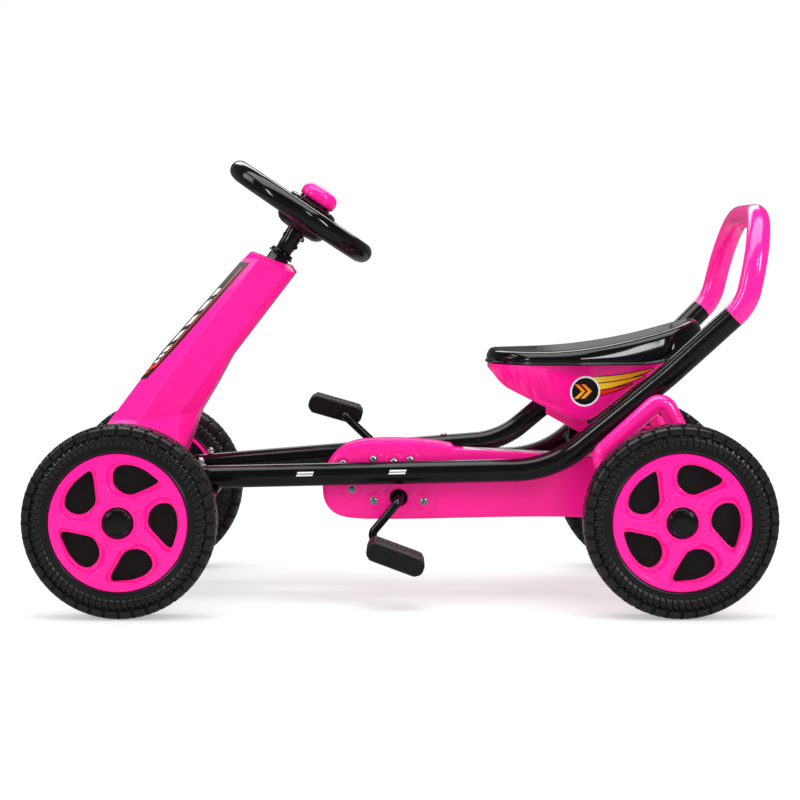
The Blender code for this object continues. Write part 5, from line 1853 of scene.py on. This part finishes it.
    def top_strip(self) -> None:
        """The film along the top of the tail, following its outline from the step rearwards."""
        edge = self.outline()
        x, z = edge.T
        upper = edge[(x > 0.084) & (x < 0.285) & (z > 0.185)]
        upper = upper[np.argsort(upper[:, 0])]
        along = np.linspace(0.0865, 0.272, 48)
        height = np.interp(along, upper[:, 0], upper[:, 1])
        across = np.linspace(-1, 1, 9)
        y = CHAIN_Y + across * (self.half - 0.0032)
        shape = np.stack(np.broadcast_arrays(along[:, None], y[None, :], height[:, None]), axis=-1)
        top, low = shape + [0, 0, 0.00015], shape - [0, 0, 0.0005]
        ring = np.concatenate([top, low[:, ::-1]], axis=1)
        marks = np.concatenate([across, across[::-1]])
        share = np.linspace(0, 1, len(along))
        surface = grid(ring, caps=True)
        extra = len(surface.points) - ring.shape[0] * ring.shape[1]
        values = {
            "across": np.concatenate([np.tile(marks, len(along)), np.zeros(extra)]),
            "along": np.concatenate([np.repeat(share, len(marks)), [0.0, 1.0][:extra]]),
        }
        self.add("guard_top_strip", surface, SILVER_FILM, "root",
                 material=SILVER_FILM.material(guard_print, "guard_film"), marks=values, weld=0.0)


SILVER_FILM = Finish("silver_film", "pink_plastic", (0.78, 0.77, 0.79), 0.25, 0.05, 0.05, 500, 0.03)


@dataclass
class Drive(Assembly):
    """The bent crank rod and the two pedals."""

    rod: float = 0.0058
    out: float = 0.098
    left_elbow: tuple[float, float] = (-0.0420, 0.0885)
    left_pedal: tuple[float, float] = (-0.0060, 0.0690)
    right_elbow: tuple[float, float] = (-0.0100, 0.1700)
    right_pedal: tuple[float, float] = (-0.0796, 0.2353)
    right_shift: tuple[float, float] = (-0.0150, 0.0035)
    pedal_in: float = 0.113
    pedal_out: float = 0.173
    pedal_length: float = 0.079
    pedal_height: float = 0.024
    tread_half: tuple[float, float] = (0.0325, 0.0275)
    tread_bars: int = 9

    def build(self) -> None:
        """Makes the crank and both pedals."""
        x, _, z = CRANK_AXIS
        tip, inner = self.pedal_out - 0.004, self.pedal_in - 0.008
        corners = [
            (self.left_pedal[0], -tip, self.left_pedal[1]),
            (self.left_pedal[0], -inner, self.left_pedal[1]),
            (self.left_elbow[0], -self.out, self.left_elbow[1]),
            (x, -self.out, z), (x, self.out, z),
            (self.right_elbow[0], self.out, self.right_elbow[1]),
            (self.right_pedal[0], inner, self.right_pedal[1]),
            (self.right_pedal[0], tip, self.right_pedal[1]),
        ]
        path = rounded_path(corners, (0.006, 0.010, 0.010, 0.010, 0.014, 0.006), 8)
        self.add("crank_rod", tube(refined(path, 0.012), self.rod, 28), BLACK_PAINT, "crank",
                 ["crankshaft"])
        for side, (px, pz), tilt, (along, up) in (
            (Side.LEFT, self.left_pedal, 20.5, (0.0, 0.0)),
            (Side.RIGHT, self.right_pedal, 16.0, self.right_shift),
        ):
            turn = Matrix.Translation((px, 0, pz)) @ Matrix.Rotation(math.radians(tilt), 4, "Y")
            at = turn @ Matrix.Translation((along, 0, up))
            body = side.tag + "_pedal"
            self.add("pedal_" + side.tag, self.pedal(side.value).placed(at), DULL_BLACK, body,
                     [side.tag + "_pedal"])
            # The tread's lighter grey is partly painted highlight.
            self.add("pedal_tread_" + side.tag, self.tread(side.value).placed(at), TREAD_LIT_GREY, body)

    def pedal(self, sign: int) -> Shape:
        """One pedal: a waisted block and its end discs; the border and tread bars on both faces
        come from tread.

        Args:
            sign: the side's sign.

        Returns:
            The pedal's block, about its own middle.
        """
        length, height = self.pedal_length / 2, self.pedal_height / 2
        bend = 0.0100
        outline = rounded_loop([(length, height), (-length, height), (-length, -height),
                                (length, -height)], (bend, bend, bend, bend))
        low, high = sorted((sign * self.pedal_in, sign * self.pedal_out))
        body = plate(refined(outline, 0.004, closed=True), -high, -low, 0.0022)
        shape = body.placed(UPRIGHT)
        waist = smoothstep(0.0, 0.010, np.abs(np.abs(shape.points[:, 1]) - 0.143) - 0.018)
        shape = Shape(shape.points * np.column_stack([1 - 0.012 * (1 - waist), np.ones(len(waist)),
                                                      np.ones(len(waist))]), shape.faces)
        disc = lathe([(0.0, 0.0), (0.0096, 0.0), (0.0094, 0.0006), (0.0088, 0.0009),
                      (0.0084, 0.0003), (0.0, 0.0003)], 40)
        ends = [axis_matrix((0, high - 0.0001, 0), (0, 1, 0)),
                axis_matrix((0, low + 0.0001, 0), (0, -1, 0))]
        return shape + disc.copies(ends)

    def tread(self, sign: int) -> Shape:
        """The raised tread on both faces: a border, two long bars and slanted bars between them.

        Args:
            sign: the side's sign.

        Returns:
            The tread of both faces.
        """
        height, middle = self.pedal_height / 2, sign * (self.pedal_in + self.pedal_out) / 2
        reach, half = self.tread_half
        rim = [(reach, half), (-reach, half), (-reach, -half), (reach, -half)]
        border = rounded_loop([(u, v, 0.0) for u, v in rim], (0.007,) * 4, 6)
        shape = tube(refined(border, 0.008, closed=True), 0.0013, 8, closed=True)
        long_bar = rounded_block((-reach, -0.0009, -0.0006), (reach, 0.0009, 0.0011), 0.0005, 1)
        lane = half * 2 / 3
        shape = shape + long_bar.copies([Matrix.Translation((0, side * lane / 2, 0))
                                         for side in (-1, 1)])
        bar = rounded_block((-0.0008, -lane / 2, -0.0006), (0.0008, lane / 2, 0.0011), 0.0004, 1)
        places = []
        for k, lean in ((-1, 0.35), (0, -0.35), (1, 0.35)):
            for u in np.linspace(-reach, reach, self.tread_bars + 2)[1:-1]:
                places.append(Matrix.Translation((u, k * lane, 0)) @ Matrix.Rotation(lean, 4, "Z"))
        shape = shape + bar.copies(places)
        faces = [Matrix.Translation((0, middle, side * height))
                 @ Matrix.Rotation(0.0 if side > 0 else math.pi, 4, "X") for side in (1, -1)]
        return shape.copies(faces)


@dataclass
class RearBrackets(Assembly):
    """The pink tube triangles that hold the rear axle, with their bosses and bushes."""

    y: float = 0.1395
    tube_radius: float = 0.0122
    corners: tuple[tuple[float, float], ...] = ((0.2575, 0.1983), (0.3444, 0.2785),
                                                (0.3885, 0.1950), (0.3595, 0.1250))

    def build(self) -> None:
        """Makes the brackets and what runs through them."""
        for side in Side:
            y = side.value * self.y
            spots = [(x, y, z) for x, z in self.corners]
            loop = refined(rounded_loop(spots, (0.013,) * len(spots), 12), 0.012, closed=True)
            frame_tube = tube(loop, self.tube_radius, closed=True)
            boss = lathe([(0.0114, -0.0145), (0.0190, -0.0145), (0.0200, -0.0135),
                          (0.0200, 0.0135), (0.0190, 0.0145), (0.0114, 0.0145)], 64)
            at = axis_matrix((WHEELBASE / 2, y, HUB_HEIGHT), (0, side.value, 0))
            self.add("axle_bracket_" + side.tag, frame_tube + boss.placed(at), PINK_PAINT, "root",
                     [side.tag + "_rear_bracket"])
            bush = lathe([(0.0065, -0.0152), (0.0108, -0.0152), (0.0111, -0.0148),
                          (0.0111, 0.0148), (0.0108, 0.0152), (0.0065, 0.0152)], 48)
            self.add("axle_bush_" + side.tag, bush.placed(at), DULL_BLACK, "root",
                     [side.tag + "_axle_bush"])


def seat_width(share: Points) -> Points:
    """Half the saddle's width by its share of the length: round nose, slim round tail.

    Args:
        share: the share of the length from the nose, 0 to 1.

    Returns:
        Half the width there.
    """
    body = 0.108 - 0.032 * np.maximum(0.0, share - 0.40) / 0.60
    nose = np.sqrt(np.clip(1 - (1 - np.minimum(1.0, share / 0.32)) ** 2, 0, 1))
    tail = np.sqrt(np.clip(1 - (np.maximum(0.0, share - 0.78) / 0.22) ** 2, 0, 1))
    return body * nose ** 0.9 * tail


@dataclass
class Saddle(Assembly):
    """The glossy black saddle, the pink shell under it with its roundel, and the keel."""

    front: float = 0.1175
    rear: float = 0.4170
    lip: float = 0.3185
    rim_drop: float = 0.047
    dish: float = 0.0060
    side_lean: tuple[float, ...] = (0.0, 9.0, 17.0, 90.0)

    def build(self) -> None:
        """Makes the saddle and its shell."""
        shape, grained = self.top()
        self.add("saddle", shape, BLACK_PLASTIC, "seat", ["seat_top"], sharp=50.0, weld=0.0,
                 material=BLACK_PLASTIC.material(saddle_grain, "saddle_plastic"),
                 marks={"grained": grained})
        knob = lathe([(0.0, -0.004), (0.0058, -0.004), (0.0060, 0.0015), (0.0052, 0.0040),
                      (0.0032, 0.0056), (0.0, 0.0062)], 32)
        self.add("saddle_tail_knob", knob.placed(axis_matrix((0.4060, -0.0150, 0.3640),
                                                             (0.35, -0.35, 0.87))),
                 BLACK_PLASTIC, "seat")
        shell = self.shell() + self.keel()
        self.add("saddle_shell", shell, PINK_PLASTIC, "seat", ["seat_shell"], sharp=40.0,
                 material=PINK_PLASTIC.material(shell_print, "shell_plastic"))

    def lip_height(self, x: Points) -> Points:
        """Height of the lip's lower edge: level, then climbing beside the rails."""
        return self.lip + 3.4 * np.maximum(0.0, x - 0.320) ** 2

    def top_height(self, x: Points) -> Points:
        """Height of the saddle's middle line, ever steeper to the rear, dropping at the tail.

        Args:
            x: the place along the kart.

        Returns:
            The height there.
        """
        share = (x - self.front) / (self.rear - self.front)
        tail = 0.0130 * (np.maximum(0.0, share - 0.95) / 0.05) ** 2
        return 0.3392 + 0.030 * (x - 0.151) + 0.75 * np.maximum(0.0, x - 0.19) ** 2 - tail

    def top(self) -> tuple[Shape, Points]:
        """The saddle as rings that run from under its lip over its rim and down into its dish.

        A ring point lies some way along the line from the plan outline to the spine. The lip is a
        small flange. The side leans in by side_lean degrees at 0, 15, 60 and 100 % of its length,
        and its section is the running sum of the sine and cosine of that lean. The rim's crest
        lies rim_drop times its distance from the middle under the middle line's height, and from
        there the dish falls by its depth, as a smooth step of the way to the spine.

        Returns:
            The closed surface, and on it the share of the grained middle, 0 to 1.
        """
        turn = np.linspace(0, 2 * np.pi, 181)[:-1]
        share = (1 - np.cos(turn)) / 2
        x = self.front + (self.rear - self.front) * share
        y = seat_width(share) * np.where(turn < np.pi, 1, -1)
        spine = np.clip(x, self.front + 0.070, self.rear - 0.045)
        towards = np.stack([spine - x, -y], axis=1)
        reach = np.linalg.norm(towards, axis=1)
        towards = towards / reach[:, None]
        lip = self.lip_height(x)
        start = lip + 0.0070
        edge = 0.0150 + 0.0060 * smoothstep(0.05, 0.40, share)
        crest_x = x + towards[:, 0] * edge
        crest = self.top_height(crest_x) - self.rim_drop * np.abs(y + towards[:, 1] * edge)
        rows, grained = [], []

        def ring(inset: Points, height: Points, mark: float) -> None:
            """Adds a ring of points.

            Args:
                inset: how far it lies inside the plan outline.
                height: its height at each point.
                mark: its share of grain.
            """
            at = np.column_stack([x, y]) + towards * np.minimum(inset, reach * 0.9)[:, None]
            rows.append(np.column_stack([at, height]))
            grained.append(np.full(len(x), mark))

        def even(value: float) -> Points:
            """One value at every point of a ring."""
            return np.full(len(x), value)

        for inset, up in ((0.0040, 0.0005), (0.0012, 0.0), (0.0002, 0.0005), (0.0, 0.0013),
                          (0.0002, 0.0024), (0.0010, 0.0031), (0.0024, 0.0035), (0.0027, 0.0042),
                          (0.0022, 0.0052), (0.0019, 0.0070)):
            ring(even(inset), lip + up, 0.0)
        arc = np.linspace(0, 1, 201)
        lean = np.radians(np.interp(arc, (0.0, 0.15, 0.60, 1.0), self.side_lean))
        into, rise = np.cumsum(np.sin(lean)), np.cumsum(np.cos(lean))
        for k in np.linspace(0, 200, 25).astype(int)[1:]:
            ring(0.0019 + (edge - 0.0019) * into[k] / into[-1],
                 start + (crest - start) * rise[k] / rise[-1], 0.0)
        depth = self.dish * smoothstep(0.10, 0.45, share) * (1 - smoothstep(0.80, 1.0, share))
        depth = depth + 0.0012
        for t in np.linspace(0, 1, 19)[1:]:
            at = np.column_stack([x, y]) + towards * (edge + (reach - edge) * t)[:, None]
            level = self.top_height(at[:, 0]) - self.rim_drop * np.abs(at[:, 1])
            rows.append(np.column_stack([at, level - depth * smoothstep(0.0, 0.75, np.array(t))]))
            grained.append(smoothstep(0.05, 0.20, np.array(t)) * smoothstep(0.12, 0.45, share))
        for inset, under in ((0.95, 0.0045), (0.6, 0.0060), (0.25, 0.0075)):
            at = np.column_stack([x, y]) + towards * (reach * inset)[:, None]
            level = self.top_height(at[:, 0]) - self.rim_drop * np.abs(at[:, 1]) - depth - under
            rows.append(np.column_stack([at, np.maximum(level, lip + 0.006)]))
            grained.append(np.zeros(len(x)))
        ring(even(0.0080), lip + 0.0050, 0.0)
        ring(even(0.0060), lip + 0.0030, 0.0)
        return grid(np.array(rows), wrap_rows=True), np.concatenate(grained)

    def shell(self) -> Shape:
        """The pink shell: sections along X whose sides curve from the lip in to a rounded floor.

        A side's half-width is low + (wide - low)(1 - (1 - s)^1.6), s being 0 at the floor and 1 at
        the lip. Shallow flutes run down the front quarter.

        Returns:
            The closed shell.
        """
        station = np.array([
            (0.1230, 0.3120, 0.036, 0.046), (0.1290, 0.3000, 0.046, 0.064),
            (0.1420, 0.2870, 0.054, 0.080), (0.1690, 0.2735, 0.060, 0.096),
            (0.1960, 0.2600, 0.060, 0.098), (0.2200, 0.2490, 0.059, 0.090),
            (0.2440, 0.2400, 0.056, 0.076), (0.2600, 0.2420, 0.056, 0.068),
            (0.2900, 0.2660, 0.058, 0.068), (0.3200, 0.2900, 0.060, 0.070),
            (0.3500, 0.3110, 0.062, 0.070), (0.3620, 0.3180, 0.062, 0.069)])
        x = np.concatenate([[0.1222], np.linspace(0.1230, 0.3620, 114), [0.3626]])
        floor, low, wide = (self.eased(x, station[:, 0], station[:, k]) for k in (1, 2, 3))
        ends = np.ones(len(x))
        ends[[0, -1]] = 0.94
        lip = self.lip_height(x) - 0.0003
        s = np.linspace(1.0, 0.14, 26)[None, :]
        side_y = low[:, None] + (wide - low)[:, None] * (1 - (1 - s) ** 1.6)
        side_z = floor[:, None] + (lip - floor)[:, None] * s
        front = (1 - smoothstep(0.185, 0.225, x))[:, None] * smoothstep(0.124, 0.132, x)[:, None]
        slope = x[:, None] + 0.45 * (side_z - 0.30)
        flutes = np.sin(slope * 2 * np.pi / 0.0115) * 0.0011 * front
        side_y = side_y + flutes * smoothstep(0.0, 0.35, 1 - s) * smoothstep(0.0, 0.2, s)
        bend = np.minimum(0.0075, 0.30 * (lip - floor))[:, None]
        base_y, base_z = side_y[:, -1:] - 0.0006, floor[:, None]
        a = np.linspace(0.15, np.pi / 2, 8)[None, :]
        turn_y = base_y - bend * (1 - np.cos(a))
        turn_z = base_z + (side_z[:, -1:] - base_z) * (1 - np.sin(a))
        flat = np.linspace(0.85, 0.0, 5)[None, :]
        half_y = np.hstack([side_y, turn_y, turn_y[:, -1:] * flat]) * ends[:, None]
        half_z = np.hstack([side_z, turn_z, np.repeat(base_z, 5, axis=1)])
        ys, zs = np.hstack([half_y, -half_y[:, -2::-1]]), np.hstack([half_z, half_z[:, -2::-1]])
        points = np.stack([np.broadcast_to(x[:, None], ys.shape), ys, zs], axis=-1)
        return grid(points, caps=True)

    def eased(self, x: Points, at: Points, values: Points) -> Points:
        """Values read off a polyline that a short moving average has rounded.

        Args:
            x: where the value is read.
            at: the polyline's places.
            values: its value at each of them.

        Returns:
            The values at x.
        """
        fine = np.linspace(at[0] - 0.012, at[-1] + 0.012, 500)
        raw = np.interp(fine, at, values)
        smooth = np.convolve(np.pad(raw, 12, mode="edge"), np.ones(25) / 25, "valid")
        return np.interp(x, fine, smooth)

    def keel(self) -> Shape:
        """The ribbed blocks that straddle the seat tube under the shell.

        Returns:
            Both blocks.
        """
        outline = rounded_loop([(0.1995, 0.2485), (0.2453, 0.2232), (0.2575, 0.2330),
                                (0.2500, 0.2500), (0.1995, 0.2680)],
                               (0.003, 0.002, 0.002, 0.004, 0.003))
        rib = rounded_block((-0.0010, -0.0012, 0.0012), (0.0010, 0.0012, 0.0170), 0.0005, 2)
        blocks = []
        for side in Side:
            y = side.value * 0.0277
            blocks.append(plate(outline, -y - 0.0072, -y + 0.0072, 0.0012).placed(UPRIGHT))
            outer = side.value * 0.0347
            for t in np.linspace(0.10, 0.90, 8):
                foot = np.array([0.1995, 0.2485]) + np.array([0.0458, -0.0253]) * t
                blocks.append(rib.placed(Matrix.Translation((foot[0] + 0.001, outer, foot[1]))))
        return joined(blocks)


def saddle_grain(tree: Tree, colour: Socket, rough: Socket) -> tuple[Socket, Socket]:
    """The middle of the seat is dull and greyer than the polished rim round it.

    Args:
        tree: the material's nodes.
        colour: the finish's own colour.
        rough: the finish's own roughness.

    Returns:
        The colour and the roughness with this on them.
    """
    grained = tree.attribute("grained")
    speck = tree.above(tree.noise(1300.0, 2.0), 0.5, 0.3)
    dull = tree.mix(speck, (0.016, 0.016, 0.017, 1), (0.034, 0.034, 0.036, 1))
    return tree.mix(grained, colour, dull), tree.blend(grained, rough, 0.52)


def shell_print(tree: Tree, colour: Socket, rough: Socket) -> tuple[Socket, Socket]:
    """A white-ringed black roundel with two chevrons, and three swept stripes behind it.

    Args:
        tree: the material's nodes.
        colour: the finish's own colour.
        rough: the finish's own roughness.

    Returns:
        The colour and the roughness with this on them.
    """
    x, _, z = tree.place()
    u, v = tree.math("SUBTRACT", x, ROUNDEL[0]), tree.math("SUBTRACT", z, ROUNDEL[1])
    away = tree.distance(u, v)
    white, black = (tree.math("SUBTRACT", 1.0, tree.above(away, radius))
                    for radius in ROUNDEL_RADII)
    lean = tree.math("ADD", u, tree.math("ABSOLUTE", v))
    chevrons = tree.either(tree.between(lean, -0.0050, 0.0005), tree.between(lean, 0.0040, 0.0095))
    chevrons = tree.both(chevrons, tree.between(tree.math("ABSOLUTE", v), -1.0, 0.0098))
    warm = tree.mix(tree.above(v, 0.0, 0.022), (1.0, 0.50, 0.02, 1), (0.95, 0.15, 0.01, 1))
    start, run_length = 0.2620, 0.080
    along = tree.math("MULTIPLY", tree.math("SUBTRACT", x, start), 1 / run_length, clamp=True)
    bend = tree.math("MULTIPLY", along, along)
    ink = colour
    hot = tree.mix(along, (1.0, 0.66, 0.03, 1), (1.0, 0.20, 0.005, 1))
    for lift, rate, bow, half, reach, shade in (
            (0.0100, 0.006, 0.0120, 0.0062, 1.00, hot), (0.0015, 0.010, 0.0110, 0.0052, 0.86, hot),
            (-0.0070, 0.012, 0.0130, 0.0040, 0.66, (0.85, 0.03, 0.015, 1))):
        rise = tree.math("ADD", tree.math("MULTIPLY", along, rate),
                         tree.math("MULTIPLY", bend, bow))
        off = tree.math("ABSOLUTE", tree.math("SUBTRACT", z, tree.math("ADD", 0.2850 + lift, rise)))
        left = tree.math("SUBTRACT", 1.0, tree.math("MULTIPLY", along, 1 / reach), clamp=True)
        width = tree.math("MULTIPLY", tree.math("POWER", left, 0.7), half)
        room = tree.math("SUBTRACT", width, off)
        run = tree.between(x, 0.2600, start + run_length * reach)
        ink = tree.mix(tree.both(tree.above(room, -0.0012), run), ink, (0.012, 0.010, 0.012, 1))
        ink = tree.mix(tree.both(tree.above(room, 0.0002), run), ink, shade)
    ink = tree.mix(white, ink, (0.92, 0.92, 0.92, 1))
    ink = tree.mix(black, ink, (0.010, 0.010, 0.011, 1))
    ink = tree.mix(tree.both(chevrons, black), ink, warm)
    return ink, rough


@dataclass
class Remainder(Assembly):
    """Nodes of the frame that keep their shape: each gets its finish and softened edges."""

    def build(self) -> None:
        """Dresses every node that no piece stands for, in steel where it isn't named here."""
        finishes = {"seat_clamp": DULL_BLACK, "column_sleeve": BLACK_PAINT,
                    "crank_hanger": BLACK_PAINT}
        for name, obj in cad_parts.items():
            if not obj.hide_render:
                self.dress(name, finishes.get(name, STEEL))


def main() -> None:
    """Builds the scene, sub-assembly by sub-assembly, and reports each piece."""
    logging.basicConfig(level=logging.INFO, format="%(message)s")
    Studio().build()
    parts: list[Assembly] = [
        RoadWheel(End.FRONT, Side.LEFT, "left_front_wheel"),
        RoadWheel(End.FRONT, Side.RIGHT, "right_front_wheel"),
        RoadWheel(End.REAR, Side.LEFT, "rear_axle"),
        RoadWheel(End.REAR, Side.RIGHT, "right_rear_wheel"),
        TubeFrame(), FrontAxle(), SteeringColumn(), SteeringCover(), ChainGuard(), Drive(),
        RearBrackets(), Saddle(), Remainder(),
    ]
    for part in parts:
        part.build()
        part.report()


if __name__ == "__main__":
    main()
